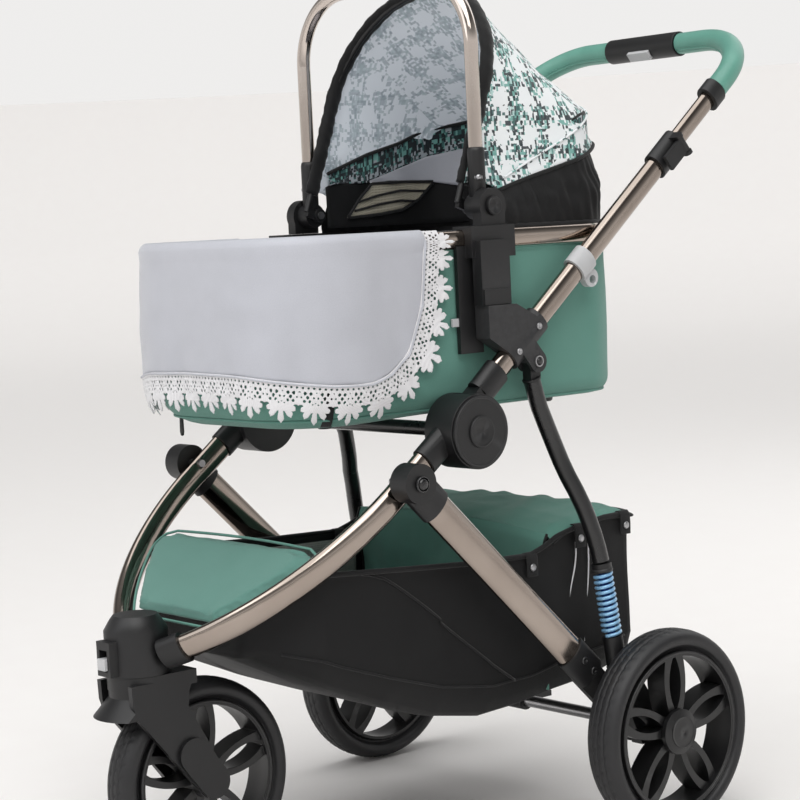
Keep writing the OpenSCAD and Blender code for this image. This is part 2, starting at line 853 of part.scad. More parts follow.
module arch_button_left() { arch_button(1); }
module arch_button_right() { arch_button(-1); }

module carry_arch() {
    arch_x = 169;
    bend = 90;
    color(C_CHROME) translate([0, pivot[0], 0]) both() {
        translate([arch_x, 0, 822]) linear_extrude(arch_z - bend - 822) difference() {
            circle(r = arch_r);
            circle(r = arch_r - 1.6);
        }
        translate([arch_x - bend, 0, arch_z - bend]) rotate([90, 0, 0])
            rotate_extrude(angle = 90, $fn = 64) translate([bend, 0]) difference() {
                circle(r = arch_r);
                circle(r = arch_r - 1.6);
            }
        translate([0, 0, arch_z]) rotate([0, 90, 0]) linear_extrude(arch_x - bend) difference() {
            circle(r = arch_r);
            circle(r = arch_r - 1.6);
        }
    }
    // boots with the eyes that turn on the pivot pins
    color(C_BLACK) both() difference() {
        union() {
            rod_x(pivot, 16, 160, 179.9);
            translate([arch_x, pivot[0], pivot[1]]) cylinder(r = 10.7, h = 51);
        }
        rod_x(pivot, pivot_r + fit, 150, 190);
        translate([arch_x, pivot[0], 822]) cylinder(r = arch_r, h = 60);
    }
}

// ---- Canopy ----

rib_side = 143;    // straight length of the front hoop above the pivot
hoop_ahead = 20.7; // distance of the front hoop's plane in front of the pivot
mid_lean = 64;     // angle of the middle rib
back_lean = 73;    // angle of the fabric's rear edge

// Plane of a rib: Z runs out from the pivot, leaning back by an angle
module on_rib(lean) {
    translate([0, pivot[0], pivot[1]]) rotate([-lean, 0, 0]) children();
}

module canopy_hoop() {
    color(C_BLACK) on_rib(hoop_lean) {
        both() difference() {
            union() {
                translate([hoop_x, -hoop_ahead, -1]) cylinder(r = 4, h = rib_side + 1, $fn = 24);
                rod_x([0, 0], 9, 147.8, 157);
                box([149.5, -hoop_ahead, -7], [156.5, 0, 5]);
            }
            rod_x([0, 0], pivot_r + fit, 140, 160);
        }
        translate([0, -hoop_ahead, rib_side]) rotate([90, 0, 0])
            rotate_extrude(angle = 180, $fn = 64)
                translate([hoop_x, 0]) circle(r = 4, $fn = 24);
    }
}

// Share of the way from the front hoop (0) to the fabric's rear edge (1)
function back_share(lean) = (lean - hoop_lean) / (back_lean - hoop_lean);

// Thickness of the canopy's two layers of cloth
canopy_thick = 0.95;

// Half width, apex height and corner radius of the canopy's section at an angle
function rib_half(lean) = hoop_x + 5.05 + 11.45 * pow(back_share(lean), 1.6);
function rib_apex(lean) = lean < mid_lean
    ? 303.5 - 15.5 * (lean - hoop_lean) / (mid_lean - hoop_lean)
    : 288 - 30 * (lean - mid_lean) / (back_lean - mid_lean);
function rib_corner(lean) = rib_half(lean) - 8 - 80 * pow(back_share(lean), 2);

// A point of the canopy: t runs from one side (0) over the top to the other (1)
function canopy_point(lean, t, inset) = let (
    half = rib_half(lean) - inset, apex = rib_apex(lean) - inset,
    r = rib_corner(lean) - inset, low = 45, u = min(t, 1 - t),
    a = 90 * (u - 0.2) / 0.24,
    flat = u < 0.2 ? [half, low + (apex - r - low) * u / 0.2]
        : u < 0.44 ? [half - r + r * cos(a), apex - r + r * sin(a)]
        : [(half - r) * (0.5 - u) / 0.06, apex],
    ahead = hoop_ahead * (1 - back_share(lean))
) [
    (t < 0.5 ? 1 : -1) * flat[0],
    pivot[0] + flat[1] * sin(lean) - ahead * cos(lean),
    pivot[1] + flat[1] * cos(lean) + ahead * sin(lean)
];

module canopy_fabric() {
    ribs = 10;
    n = 25;
    leans = [for (i = [0:ribs]) hoop_lean + (back_lean - hoop_lean) * i / ribs];
    sheet = function (inset) [for (l = leans, k = [0:n]) canopy_point(l, k / n, inset)];
    m = (ribs + 1) * (n + 1);
    at = function (i, k) i * (n + 1) + k;
    quads = [for (i = [0:ribs - 1], k = [0:n - 1])
        [at(i, k), at(i, k + 1), at(i + 1, k + 1), at(i + 1, k)]];
    rim_a = [for (k = [0:n - 1]) each [
        [at(0, k + 1), at(0, k), m + at(0, k), m + at(0, k + 1)],
        [at(ribs, k), at(ribs, k + 1), m + at(ribs, k + 1), m + at(ribs, k)]
    ]];
    rim_b = [for (i = [0:ribs - 1]) each [
        [at(i, 0), at(i + 1, 0), m + at(i + 1, 0), m + at(i, 0)],
        [at(i + 1, n), at(i, n), m + at(i, n), m + at(i + 1, n)]
    ]];
    color(C_PRINT) polyhedron(
        concat(sheet(0), sheet(canopy_thick)),
        concat(quads, [for (q = quads) [m + q[3], m + q[2], m + q[1], m + q[0]]], rim_a, rim_b)
    );
}

// Gathered cloth between the canopy's rear edge and the rail
module canopy_skirt() {
    color(C_BLACK) intersection() {
        plan_wall(3, 9, 780.4, 862);
        box([-300, 16, 700], [300, 300, 900]);
    }
}

front_tube_left();
front_tube_right();
lower_knuckles();
hub_discs();
fold_pins();
front_crossbar();
swivel_housing();
footrest();
leg_pins();
basket_shell();
basket_lid();
upper_tube_left();
upper_tube_right();
upper_knuckles();
mid_sockets();
tube_clamps();
accessory_clips();
strut_pins();
clamp_lever_left();
clamp_lever_right();
handle_bar();
handle_grips();
handle_centre();
handle_collars();
handle_button();
leg_tube_left();
leg_tube_right();
leg_caps();
leg_sleeves();
strut_tubes();
strut_ends();
strut_rods();
axle_housings();
axle_tube();
coil_springs();
brake_pedal();
rear_tyre_left();
rear_tyre_right();
rear_rim_left();
rear_rim_right();
fork();
front_axle();
front_tyre();
front_rim();
swivel_lock();
bassinet_body();
bassinet_rail();
bassinet_brackets();
bassinet_pad();
pivot_housings();
pivot_pins();
apron();
canopy_skirt();
canopy_hoop();
canopy_fabric();
carry_arch();
arch_button_left();
arch_button_right();
release_button_left();
release_button_right();
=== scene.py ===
"""Looks of the pet stroller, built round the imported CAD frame."""
import json
import math

import bpy
import bmesh
import numpy as np
from mathutils import Matrix, Vector, noise


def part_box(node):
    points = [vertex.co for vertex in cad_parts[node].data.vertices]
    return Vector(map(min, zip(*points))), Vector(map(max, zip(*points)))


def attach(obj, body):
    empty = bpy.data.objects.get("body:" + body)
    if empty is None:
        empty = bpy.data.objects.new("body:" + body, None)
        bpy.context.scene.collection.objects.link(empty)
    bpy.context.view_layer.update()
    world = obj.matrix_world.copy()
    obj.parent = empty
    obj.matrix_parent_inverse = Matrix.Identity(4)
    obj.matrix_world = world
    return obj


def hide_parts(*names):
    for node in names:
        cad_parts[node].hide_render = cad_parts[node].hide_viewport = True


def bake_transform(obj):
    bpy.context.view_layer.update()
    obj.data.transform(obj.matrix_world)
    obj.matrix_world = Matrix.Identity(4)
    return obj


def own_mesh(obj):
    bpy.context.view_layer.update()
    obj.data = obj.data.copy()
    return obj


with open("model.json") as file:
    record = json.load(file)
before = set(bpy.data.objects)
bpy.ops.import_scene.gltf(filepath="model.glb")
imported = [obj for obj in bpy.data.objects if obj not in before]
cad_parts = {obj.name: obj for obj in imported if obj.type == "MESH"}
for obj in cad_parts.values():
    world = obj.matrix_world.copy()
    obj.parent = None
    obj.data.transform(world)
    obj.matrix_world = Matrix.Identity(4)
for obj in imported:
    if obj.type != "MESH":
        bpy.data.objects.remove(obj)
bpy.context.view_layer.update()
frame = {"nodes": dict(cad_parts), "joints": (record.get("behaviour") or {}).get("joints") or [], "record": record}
MM = 0.001
SCENE = bpy.context.scene

# ---------------------------------------------------------------- camera


SENSOR_MM, LENS_MM, SHIFT = 36, 95.92, (0.0754, 0.0194)
EYE = (2.1424, -1.8210, 0.7919)
EYE_RIGHT, EYE_UP = Vector((0.6257, 0.7784, -0.0507)), Vector((-0.0373, 0.0947, 0.9948))
EYE_BACK = Vector((0.7792, -0.6206, 0.0883))


def add_camera():
    data = bpy.data.cameras.new("camera")
    data.sensor_width, data.lens = SENSOR_MM, LENS_MM
    data.shift_x, data.shift_y = SHIFT
    data.clip_end = 100
    cam = bpy.data.objects.new("camera", data)
    turn = Matrix((EYE_RIGHT, EYE_UP, EYE_BACK)).transposed().to_4x4()
    cam.matrix_world = Matrix.Translation(EYE) @ turn
    SCENE.collection.objects.link(cam)
    SCENE.camera = cam


add_camera()

# ---------------------------------------------------------------- materials


def srgb(r, g, b):
    lin = [(c / 255 / 12.92) if c < 10.4 else ((c / 255 + 0.055) / 1.055) ** 2.4
           for c in (r, g, b)]
    return (*lin, 1.0)


def set_stops(node, stops):
    """Fill a colour ramp with (position, colour) stops."""
    el = node.color_ramp.elements
    while len(el) < len(stops):
        el.new(0.5)
    for e, (at, c) in zip(el, stops):
        e.position, e.color = at, c if len(c) == 4 else (*c, 1)


class Tree:
    """A material and a short way to add and join its nodes."""

    def __init__(self, name):
        self.mat = bpy.data.materials.new(name)
        self.mat.use_nodes = True
        self.t = self.mat.node_tree
        self.bsdf = self.t.nodes["Principled BSDF"]

    def add(self, kind, inputs=None, **props):
        n = self.t.nodes.new("ShaderNode" + kind)
        for k, v in props.items():
            setattr(n, k, v)
        for k, v in (inputs or {}).items():
            self.put(n, k, v)
        return n

    def put(self, n, key, value):
        if isinstance(value, bpy.types.NodeSocket):
            self.t.links.new(value, n.inputs[key])
        else:
            n.inputs[key].default_value = value

    def maths(self, op, a, b=0.0, clamp=False):
        return self.add("Math", {0: a, 1: b}, operation=op, use_clamp=clamp).outputs[0]

    def mix(self, fac, a, b, blend="MIX"):
        n = self.add("Mix", data_type="RGBA", blend_type=blend)
        for i, v in ((0, fac), (6, a), (7, b)):
            self.put(n, i, v)
        return n.outputs[2]

    def ramp(self, fac, stops, mode="LINEAR"):
        n = self.add("ValToRGB", {0: fac})
        n.color_ramp.interpolation = mode
        set_stops(n, stops)
        return n.outputs[0]

    def noise(self, scale, coords, detail=2.0, rough=0.5):
        return self.add("TexNoise", {"Scale": scale, "Detail": detail, "Roughness": rough,
                                     "Vector": coords}).outputs[0]

    def coords(self, uv=False):
        return self.add("TexCoord").outputs["UV" if uv else "Object"]

    def bands(self, coords, period, direction):
        return self.add("TexWave", {"Scale": 0.31416 / period, "Vector": coords},
                        bands_direction=direction).outputs[1]

    def bump(self, height, strength, distance):
        n = self.add("Bump", {"Strength": strength, "Distance": distance, "Height": height})
        self.put(self.bsdf, "Normal", n.outputs[0])

    def set(self, **values):
        for k, v in values.items():
            self.put(self.bsdf, k.replace("_", " "), v)
        return self


def plastic(name, dark, light, rough, grain=900.0, depth=0.00015, wear=0.35, metallic=0.0,
            coat=0.0):
    """Moulded or lacquered part: fine grain, cloudy gloss, paler edges where it rubs."""
    m = Tree(name)
    co = m.coords()
    cloud = m.noise(14, co, 3)
    fine = m.noise(grain, co, 2)
    base = m.mix(cloud, dark, light)
    edge = m.ramp(m.add("NewGeometry").outputs["Pointiness"],
                  [(0.53, (0, 0, 0)), (0.62, (1, 1, 1))])
    scuff = m.maths("MULTIPLY", edge, m.maths("MULTIPLY", m.noise(160, co, 4), wear * 2))
    pale = tuple(min(1, c * 2.4 + 0.03) for c in light[:3]) + (1,)
    m.set(Base_Color=m.mix(scuff, base, pale), Metallic=metallic)
    spread = m.maths("MULTIPLY", m.maths("SUBTRACT", cloud, 0.5), 0.22)
    m.set(Roughness=m.maths("ADD", m.maths("ADD", rough, spread),
                            m.maths("MULTIPLY", scuff, 0.2), clamp=True))
    if coat:
        m.set(Coat_Weight=coat, Coat_Roughness=0.12)
    m.bump(fine, 0.35, depth)
    return m.mat


def metal(name, dark, light, rough, brushed=0.0):
    """Polished or lacquered tube with faint streaks and fingerprints."""
    m = Tree(name)
    co = m.coords()
    cloud = m.noise(9, co, 4)
    smear = m.noise(70, co, 5, 0.6)
    m.set(Base_Color=m.mix(cloud, dark, light), Metallic=1.0)
    m.set(Roughness=m.maths("ADD", rough - 0.03, m.maths("MULTIPLY", smear, 0.09), clamp=True))
    stretched = m.add("Mapping", {"Vector": co, "Scale": (1, 1, 14)}).outputs[0]
    m.bump(m.noise(220, stretched, 3), 0.08 + brushed, 0.0001)
    return m.mat


def woven(m, co, period, strength=0.5, depth=0.0004):
    """Bump of a plain weave; returns the height so that a colour can follow it."""
    warp = m.bands(co, period, "X")
    weft = m.bands(co, period, "Y")
    height = m.maths("MAXIMUM", warp, weft)
    slub = m.noise(260, co, 3)
    m.bump(m.maths("ADD", height, m.maths("MULTIPLY", slub, 0.8)), strength, depth)
    return height


def cloth(name, dark, light, rough=0.8, period=0.0011, sheen=0.35, uv=True, spec=0.3,
          strength=0.5, melange=0.5):
    m = Tree(name)
    co = m.coords(uv)
    height = woven(m, co, period, strength)
    soft = m.noise(22, m.coords(), 4)
    thread = m.noise(700, co, 2)
    base = m.mix(m.maths("ADD", m.maths("MULTIPLY", soft, 1 - melange),
                         m.maths("MULTIPLY", thread, melange)), dark, light)
    # Painted shade: the colour is darkened in the hollows of the weave.
    groove = m.maths("MULTIPLY", m.maths("SUBTRACT", 1.0, height), 0.22)
    m.set(Base_Color=m.mix(groove, base, tuple(c * 0.45 for c in dark[:3]) + (1,)))
    m.set(Roughness=m.maths("ADD", rough - 0.06, m.maths("MULTIPLY", soft, 0.12), clamp=True))
    m.set(Sheen_Weight=sheen, Sheen_Roughness=0.45, Specular_IOR_Level=spec)
    return m


def printed(name, ground, inks, share, strength, painted_backlight_glow=0.0):
    """Cotton with a block print: rows of small bars in a few inks round plain stars."""
    m = Tree(name)
    co = m.coords(True)
    wobble = m.add("VectorMath", {0: m.add("TexNoise", {"Scale": 420.0, "Vector": co}).outputs[1],
                                  1: (0.0011, 0.0011, 0)}, operation="MULTIPLY").outputs[0]
    at = m.add("VectorMath", {0: co, 1: wobble}, operation="ADD").outputs[0]
    colour = ground
    star = m.add("SeparateXYZ", {0: m.add("VectorMath", {0: at, 1: (140, 140, 0)},
                                          operation="MULTIPLY").outputs[0]})
    stars = m.maths("ADD", m.maths("COSINE", star.outputs[0]), m.maths("COSINE", star.outputs[1]))
    for k, (wide, tall) in enumerate(((0.0046, 0.0036), (0.0030, 0.0062))):
        cell = m.add("VectorMath", {0: at, 1: (1 / wide, 1 / tall, 1)}, operation="MULTIPLY")
        cell = m.add("VectorMath", {0: cell.outputs[0], 1: (0.31 * k, 0.47 * k, 0)},
                     operation="ADD")
        cell = m.add("VectorMath", {0: cell.outputs[0]}, operation="FLOOR")
        pick = m.add("SeparateColor", {0: m.add("TexWhiteNoise", {"Vector": cell.outputs[0]},
                                                noise_dimensions="2D").outputs[1]})
        ink = m.ramp(pick.outputs[0], inks, "CONSTANT")
        limit = m.maths("SUBTRACT", share, m.maths("MULTIPLY", stars, 0.22))
        mask = m.maths("MULTIPLY", m.maths("LESS_THAN", pick.outputs[1], limit), strength)
        colour = m.mix(mask, colour, ink)
    height = woven(m, co, 0.0010, 0.35)
    # Painted shade: the colour is darkened in the hollows of the weave.
    weave_hollow_shade = m.maths("MULTIPLY", m.maths("SUBTRACT", 1.0, height), 0.12)
    colour = m.mix(weave_hollow_shade, colour, tuple(c * 0.6 for c in ground[:3]) + (1,))
    # Emission is painted light: a glow that stands in for lamp light shining through the cloth from behind.
    m.set(Base_Color=colour, Emission_Color=colour, Emission_Strength=painted_backlight_glow)
    m.set(Roughness=m.maths("ADD", 0.74, m.maths("MULTIPLY", m.noise(30, co), 0.12)))
    m.set(Sheen_Weight=0.15, Sheen_Roughness=0.5, Specular_IOR_Level=0.3)
    return m.mat


def mesh_net(name, dark, light):
    """Fine net seen from afar: pale threads over a dark ground."""
    m = Tree(name)
    co = m.coords(True)
    a = m.bands(co, 0.0026, "X")
    b = m.bands(co, 0.0026, "Y")
    hole = m.maths("MULTIPLY", m.maths("LESS_THAN", a, 0.55), m.maths("LESS_THAN", b, 0.55))
    m.set(Base_Color=m.mix(m.maths("MULTIPLY", hole, 0.6), light, dark), Roughness=0.8,
          Sheen_Weight=0.1)
    m.bump(m.maths("MAXIMUM", a, b), 0.5, 0.0005)
    return m.mat


BLACK, COAL = srgb(13, 13, 14), srgb(23, 23, 25)
MAT = {
    "tube": metal("bronze_tube", srgb(142, 130, 121), srgb(176, 165, 156), 0.11),
    "chrome": metal("arch_metal", srgb(188, 176, 167), srgb(214, 205, 198), 0.08),
    "steel": metal("bright_steel", srgb(150, 150, 152), srgb(190, 190, 192), 0.28),
    "black_metal": plastic("black_lacquer", srgb(12, 12, 13), srgb(20, 20, 22), 0.28, 700,
                           0.0001, 0.3, 0.0, 0.3),
    "black_plastic": plastic("black_moulding", BLACK, COAL, 0.46),
    "grey_plastic": plastic("grey_moulding", srgb(160, 161, 163), srgb(196, 197, 199), 0.42),
    "rim": plastic("wheel_moulding", srgb(14, 14, 15), srgb(26, 26, 27), 0.36),
    "tyre": plastic("tyre_rubber", srgb(20, 20, 22), srgb(34, 34, 36), 0.52, 520, 0.0004, 0.15),
    "hoop": plastic("hoop_rod", BLACK, COAL, 0.4),
    "spring": plastic("spring_blue", srgb(66, 128, 190), srgb(140, 190, 226), 0.22, 500,
                      0.0001, 0.2, 0.25, 0.5),
    "spring_core": plastic("spring_core_blue", srgb(10, 40, 110), srgb(20, 72, 160), 0.3, 500,
                           0.0001, 0.1, 0.2, 0.4),
    "teal": cloth("teal_cloth", srgb(84, 132, 120), srgb(104, 152, 140), sheen=0.2).mat,
    "teal_pad": cloth("teal_padded_cloth", srgb(82, 126, 116), srgb(102, 146, 136), sheen=0.2,
                      uv=False).mat,
    "grey": cloth("grey_satin", srgb(168, 170, 178), srgb(196, 198, 206), 0.5, 0.0008, 0.3,
                  spec=0.5, strength=0.3).mat,
    "lining": cloth("grey_lining", srgb(150, 152, 156), srgb(182, 184, 188), 0.7).mat,
    "pad": cloth("pad_fleece", srgb(176, 176, 182), srgb(206, 206, 212), 0.9, 0.0016, 0.6,
                 uv=False).mat,
    "black": cloth("black_cloth", srgb(5, 5, 6), srgb(12, 12, 14), 0.62, 0.0012, 0.03,
                   spec=0.3, melange=0.3).mat,
    "binding": cloth("black_binding", srgb(9, 9, 10), srgb(20, 20, 22), 0.7, 0.0016,
                     0.15).mat,
    "lace": cloth("white_lace", srgb(206, 205, 208), srgb(236, 236, 238), 0.85, 0.0012, 0.4,
                  uv=False, strength=0.4).mat,
    "net": mesh_net("window_net", srgb(70, 66, 58), srgb(176, 170, 152)),
    "net_dark": mesh_net("side_net", srgb(96, 96, 94), srgb(168, 168, 164)),
}
TEAL_INK, DARK_INK, DEEP_INK = srgb(112, 168, 160), srgb(26, 40, 46), srgb(52, 96, 94)
INKS = [(0.0, DARK_INK), (0.42, TEAL_INK), (0.68, DEEP_INK), (0.86, srgb(178, 208, 206))]
MAT["print"] = printed("block_print", srgb(232, 236, 238), INKS, 0.30, 0.95)
# The reverse of the print glows a little: painted light for lamp light coming through the canopy.
MAT["print_back"] = printed("block_print_reverse", srgb(210, 216, 223),
                            [(0.0, srgb(128, 142, 152)), (0.5, srgb(152, 168, 174))], 0.27, 0.62,
                            painted_backlight_glow=0.22)
MAT["print_dark"] = printed("block_print_dark", srgb(166, 174, 180),
                            [(0.0, srgb(14, 24, 30)), (0.62, DEEP_INK), (0.85, TEAL_INK)], 0.56,
                            0.97)


def leather(name, dark, light):
    m = Tree(name)
    co = m.coords()
    grain = m.add("TexVoronoi", {"Vector": co, "Scale": 620.0}, feature="DISTANCE_TO_EDGE")
    cloud = m.noise(30, co, 3)
    m.set(Base_Color=m.mix(cloud, dark, light))
    m.set(Roughness=m.maths("ADD", 0.36, m.maths("MULTIPLY", cloud, 0.14)))
    m.set(Coat_Weight=0.12, Coat_Roughness=0.3)
    m.bump(m.maths("MINIMUM", grain.outputs[0], 0.12), 0.5, 0.0004)
    return m.mat


MAT["grip"] = leather("grip_leatherette", srgb(84, 138, 124), srgb(104, 160, 145))

# ---------------------------------------------------------------- mesh helpers


def around(n):
    """n angles round a full turn."""
    return np.linspace(0, 2 * math.pi, n, endpoint=False)


def unit_rows(rows):
    """The vectors in the last axis, each of length one."""
    return rows / np.linalg.norm(rows, axis=-1)[..., None]


def run(p):
    """Distance along a path at each of its points."""
    return np.concatenate([[0], np.cumsum(np.linalg.norm(np.diff(p, axis=0), axis=1))])


def follow(at, d, p):
    """Points at distances along a path p whose own points lie at d."""
    return np.stack([np.interp(at, d, p[:, c]) for c in range(p.shape[1])], -1)


def shade_smooth(ob):
    ob.data.polygons.foreach_set("use_smooth", [True] * len(ob.data.polygons))


def new_mesh(name, verts, faces, mats, index=None, uvs=None, smooth=True):
    me = bpy.data.meshes.new(name)
    me.from_pydata([tuple(v) for v in np.asarray(verts, float)], [],
                   [tuple(int(i) for i in f) for f in faces])
    for m in (mats if isinstance(mats, (list, tuple)) else [mats]):
        me.materials.append(MAT[m])
    if index is not None:
        me.polygons.foreach_set("material_index", np.asarray(index, np.int32))
    me.polygons.foreach_set("use_smooth", np.full(len(me.polygons), smooth))
    if uvs is not None:
        layer = me.uv_layers.new(name="cloth")
        layer.data.foreach_set("uv", np.asarray(uvs, np.float32).ravel())
    me.validate()
    me.update()
    ob = bpy.data.objects.new(name, me)
    SCENE.collection.objects.link(ob)
    return ob


def grid(name, points, mats, wrap=(False, False), index=None, uv_scale=1.0, flip=False):
    """A quad sheet through rows and columns of points in mm, with UVs in metres."""
    p = np.asarray(points, float) * MM
    n, m = p.shape[:2]
    ni, mj = n if wrap[0] else n - 1, m if wrap[1] else m - 1
    i, j = (a.ravel() for a in np.meshgrid(np.arange(ni), np.arange(mj), indexing="ij"))
    i2, j2 = (i + 1) % n, (j + 1) % m
    faces = np.stack([i * m + j, i * m + j2, i2 * m + j2, i2 * m + j], 1)
    du = np.linalg.norm(np.roll(p, -1, 1) - p, axis=2).mean(0)
    dv = np.linalg.norm(np.roll(p, -1, 0) - p, axis=2).mean(1)
    u = np.concatenate([[0], np.cumsum(du)]) * uv_scale
    v = np.concatenate([[0], np.cumsum(dv)]) * uv_scale
    uv = np.stack([np.stack([u[j], v[i]], 1), np.stack([u[j + 1], v[i]], 1),
                   np.stack([u[j + 1], v[i + 1]], 1), np.stack([u[j], v[i + 1]], 1)], 1)
    if flip:
        faces, uv = faces[:, ::-1], uv[:, ::-1]
    return new_mesh(name, p.reshape(-1, 3), faces, mats, index, uv)


def frames(path, closed=False):
    """Two unit vectors square to each point of a path, turning as little as they can."""
    p = np.asarray(path, float)
    if closed:
        t = np.roll(p, -1, 0) - np.roll(p, 1, 0)
    else:
        t = np.gradient(p, axis=0)
    t = unit_rows(t)
    a = np.array([0, 0, 1.0]) if abs(t[0][2]) < 0.9 else np.array([1.0, 0, 0])
    us = []
    for k in range(len(p)):
        a = a - t[k] * a.dot(t[k])
        a /= np.linalg.norm(a)
        us.append(a)
    us = np.array(us)
    return us, np.cross(t, us)


def tube_points(path, r, n=10, closed=False, flat=None):
    """Rings of points round a path; flat = (across, thick) half sizes for a strap."""
    p = np.asarray(path, float)
    u, v = frames(p, closed)
    a = around(n)
    ra, rb = flat if flat else (r, r)
    ca, sa = np.cos(a), np.sin(a)
    if flat:
        ca, sa = np.sign(ca) * abs(ca) ** 0.4, np.sign(sa) * abs(sa) ** 0.7
    return (p[:, None] + u[:, None] * (ca * np.atleast_1d(ra)[..., None])[..., None]
            + v[:, None] * (sa * np.atleast_1d(rb)[..., None])[..., None])


class Editing:
    """with Editing(ob) as bm: edits the object's mesh in place."""

    def __init__(self, ob):
        self.me, self.bm = ob.data, bmesh.new()

    def __enter__(self):
        self.bm.from_mesh(self.me)
        self.bm.verts.ensure_lookup_table()
        return self.bm

    def __exit__(self, *failed):
        self.bm.to_mesh(self.me)
        self.bm.free()


def fill_ends(ob, turn_out=True):
    with Editing(ob) as bm:
        bmesh.ops.holes_fill(bm, edges=[e for e in bm.edges if e.is_boundary], sides=0)
        if turn_out:
            bmesh.ops.recalc_face_normals(bm, faces=bm.faces)
    return ob


def cap_rows(ob, n, rows, mats=(0, 0), smooth=False):
    """Close a stack of rings of n points with one face at each row given."""
    with Editing(ob) as bm:
        for row, mat in zip(rows, mats):
            f = bm.faces.new([bm.verts[row * n + i] for i in range(n)])
            if smooth:
                f.material_index, f.smooth = mat, True
        bmesh.ops.recalc_face_normals(bm, faces=bm.faces)
    return ob


def tube(name, path, r, mat, n=10, closed=False, flat=None):
    """A round cord or flat strap along a path in mm."""
    pts = tube_points(path, r, n, closed, flat)
    ob = grid(name, pts, mat, wrap=(closed, True))
    if not closed:
        fill_ends(ob, False)
        shade_smooth(ob)
    return ob


def lathe(name, profile, centre, axis, mat, n=48, closed=False):
    """Turned part: profile points are (radius, distance along the axis), in mm."""
    ax = Vector(axis).normalized()
    side = ax.orthogonal().normalized()
    other = ax.cross(side)
    a = around(n)
    ring = np.outer(np.cos(a), side) + np.outer(np.sin(a), other)
    pr = np.asarray(profile, float)
    pts = (np.asarray(centre, float) + pr[:, 0, None, None] * ring[None]
           + pr[:, 1, None, None] * np.asarray(ax)[None, None])
    ob = grid(name, pts, mat, wrap=(closed, True))
    tidy_mesh(ob)
    return ob


def tidy_mesh(ob):
    with Editing(ob) as bm:
        bmesh.ops.remove_doubles(bm, verts=bm.verts, dist=1e-6)
        bmesh.ops.dissolve_degenerate(bm, edges=bm.edges, dist=1e-7)
        bmesh.ops.recalc_face_normals(bm, faces=bm.faces)


def join(name, parts):
    """One object out of several meshes."""
    bm = bmesh.new()
    mats = []
    for o in parts:
        start = len(bm.faces)
        bm.from_mesh(o.data)
        bm.faces.ensure_lookup_table()
        own = list(o.data.materials)
        for m in own:
            if m not in mats:
                mats.append(m)
        remap = [mats.index(m) for m in own]
        for f in bm.faces[start:]:
            f.material_index = remap[f.material_index]
    me = bpy.data.meshes.new(name)
    bm.to_mesh(me)
    bm.free()
    for m in mats:
        me.materials.append(m)
    for o in parts:
        bpy.data.objects.remove(o)
    ob = bpy.data.objects.new(name, me)
    SCENE.collection.objects.link(ob)
    return ob


def mirrored(ob):
    """The same mesh on the other side as well, in one object."""
    other = ob.copy()
    other.data = ob.data.copy()
    SCENE.collection.objects.link(other)
    other.data.transform(Matrix.Scale(-1, 4, (1, 0, 0)))
    other.data.flip_normals()
    name = ob.name
    ob.name = name + "_half"
    return join(name, [ob, other])


def solidify(ob, thick, offset=-1.0, second=0):
    m = ob.modifiers.new("thickness", "SOLIDIFY")
    m.thickness, m.offset, m.use_even_offset = thick * MM, offset, False
    m.material_offset = second
    m.material_offset_rim = 0
    return ob


def subdivide(ob, levels=1):
    m = ob.modifiers.new("smooth", "SUBSURF")
    m.levels = m.render_levels = levels
    return ob


def fbm(p, scale, seed=0.0):
    """Smooth noise at each row of points (mm) with a feature size in mm."""
    q = np.asarray(p, float).reshape(-1, 3) / scale + seed
    out = np.array([noise.noise(Vector(v)) for v in q])
    return out.reshape(np.asarray(p).shape[:-1])


def done(ob, body, slot, *nodes):
    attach(ob, body)
    if nodes:
        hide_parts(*nodes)
    return ob


def both(name, parts, body, slot):
    """One piece of the parts and their mirror images."""
    return done(mirrored(join(name, parts)), body, slot)


def points(ob):
    return np.array([v.co for v in ob.data.vertices], float)


def move_points(ob, co):
    ob.data.vertices.foreach_set("co", co.astype(np.float32).ravel())


def smoothstep(x, a, b):
    t = np.clip((np.asarray(x, float) - a) / (b - a), 0, 1)
    return t * t * (3 - 2 * t)


# ---------------------------------------------------------------- CAD nodes

SLOT_LOOK = {"green_cloth": "teal", "black_cloth": "black", "printed_cloth": "print",
             "grey_cloth": "grey", "pad": "pad"}
SLOT_OF = {r["node"]: r["material_slot"] for r in frame["record"]["subparts"]}
BOOT_TOP = 0.875                    # the arch's tube is black below this height, in metres
ROUNDED = {"rim": 1.6, "fork": 3.0, "handle_centre": 2.5, "housing": 2.2}


def dress_cad():
    for name, ob in frame["nodes"].items():
        slot = SLOT_OF[name]
        look = SLOT_LOOK.get(slot, slot)
        if name == "strut_rods":
            look = "spring_core"
        ob.data.materials.clear()
        ob.data.materials.append(MAT[look])
        shade_smooth(ob)
        if name == "carry_arch":
            ob.data.materials.append(MAT["black_plastic"])
            for face in ob.data.polygons:
                face.material_index = int(face.center.z < BOOT_TOP)
        weld = ob.modifiers.new("weld", "WELD")
        weld.merge_threshold = 2e-5
        width = next((w for k, w in ROUNDED.items() if k in name), 0.8)
        bevel = ob.modifiers.new("edge", "BEVEL")
        bevel.width, bevel.segments, bevel.limit_method = width * MM, 3, "ANGLE"
        bevel.angle_limit = math.radians(38)
        bevel.miter_outer = "MITER_ARC"
        normal = ob.modifiers.new("shade", "WEIGHTED_NORMAL")
        normal.weight, normal.keep_sharp = 60, False


dress_cad()

# ---------------------------------------------------------------- places in the frame


def box_mm(node):
    return (np.array(v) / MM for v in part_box(node))


def mid(node):
    lo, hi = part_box(node)
    return (np.array(lo) + np.array(hi)) / 2 / MM


def joint(name):
    return next(j for j in frame["joints"] if j["name"] == name)


def pos(name):
    return np.array(joint(name)["pos_m"]) / MM


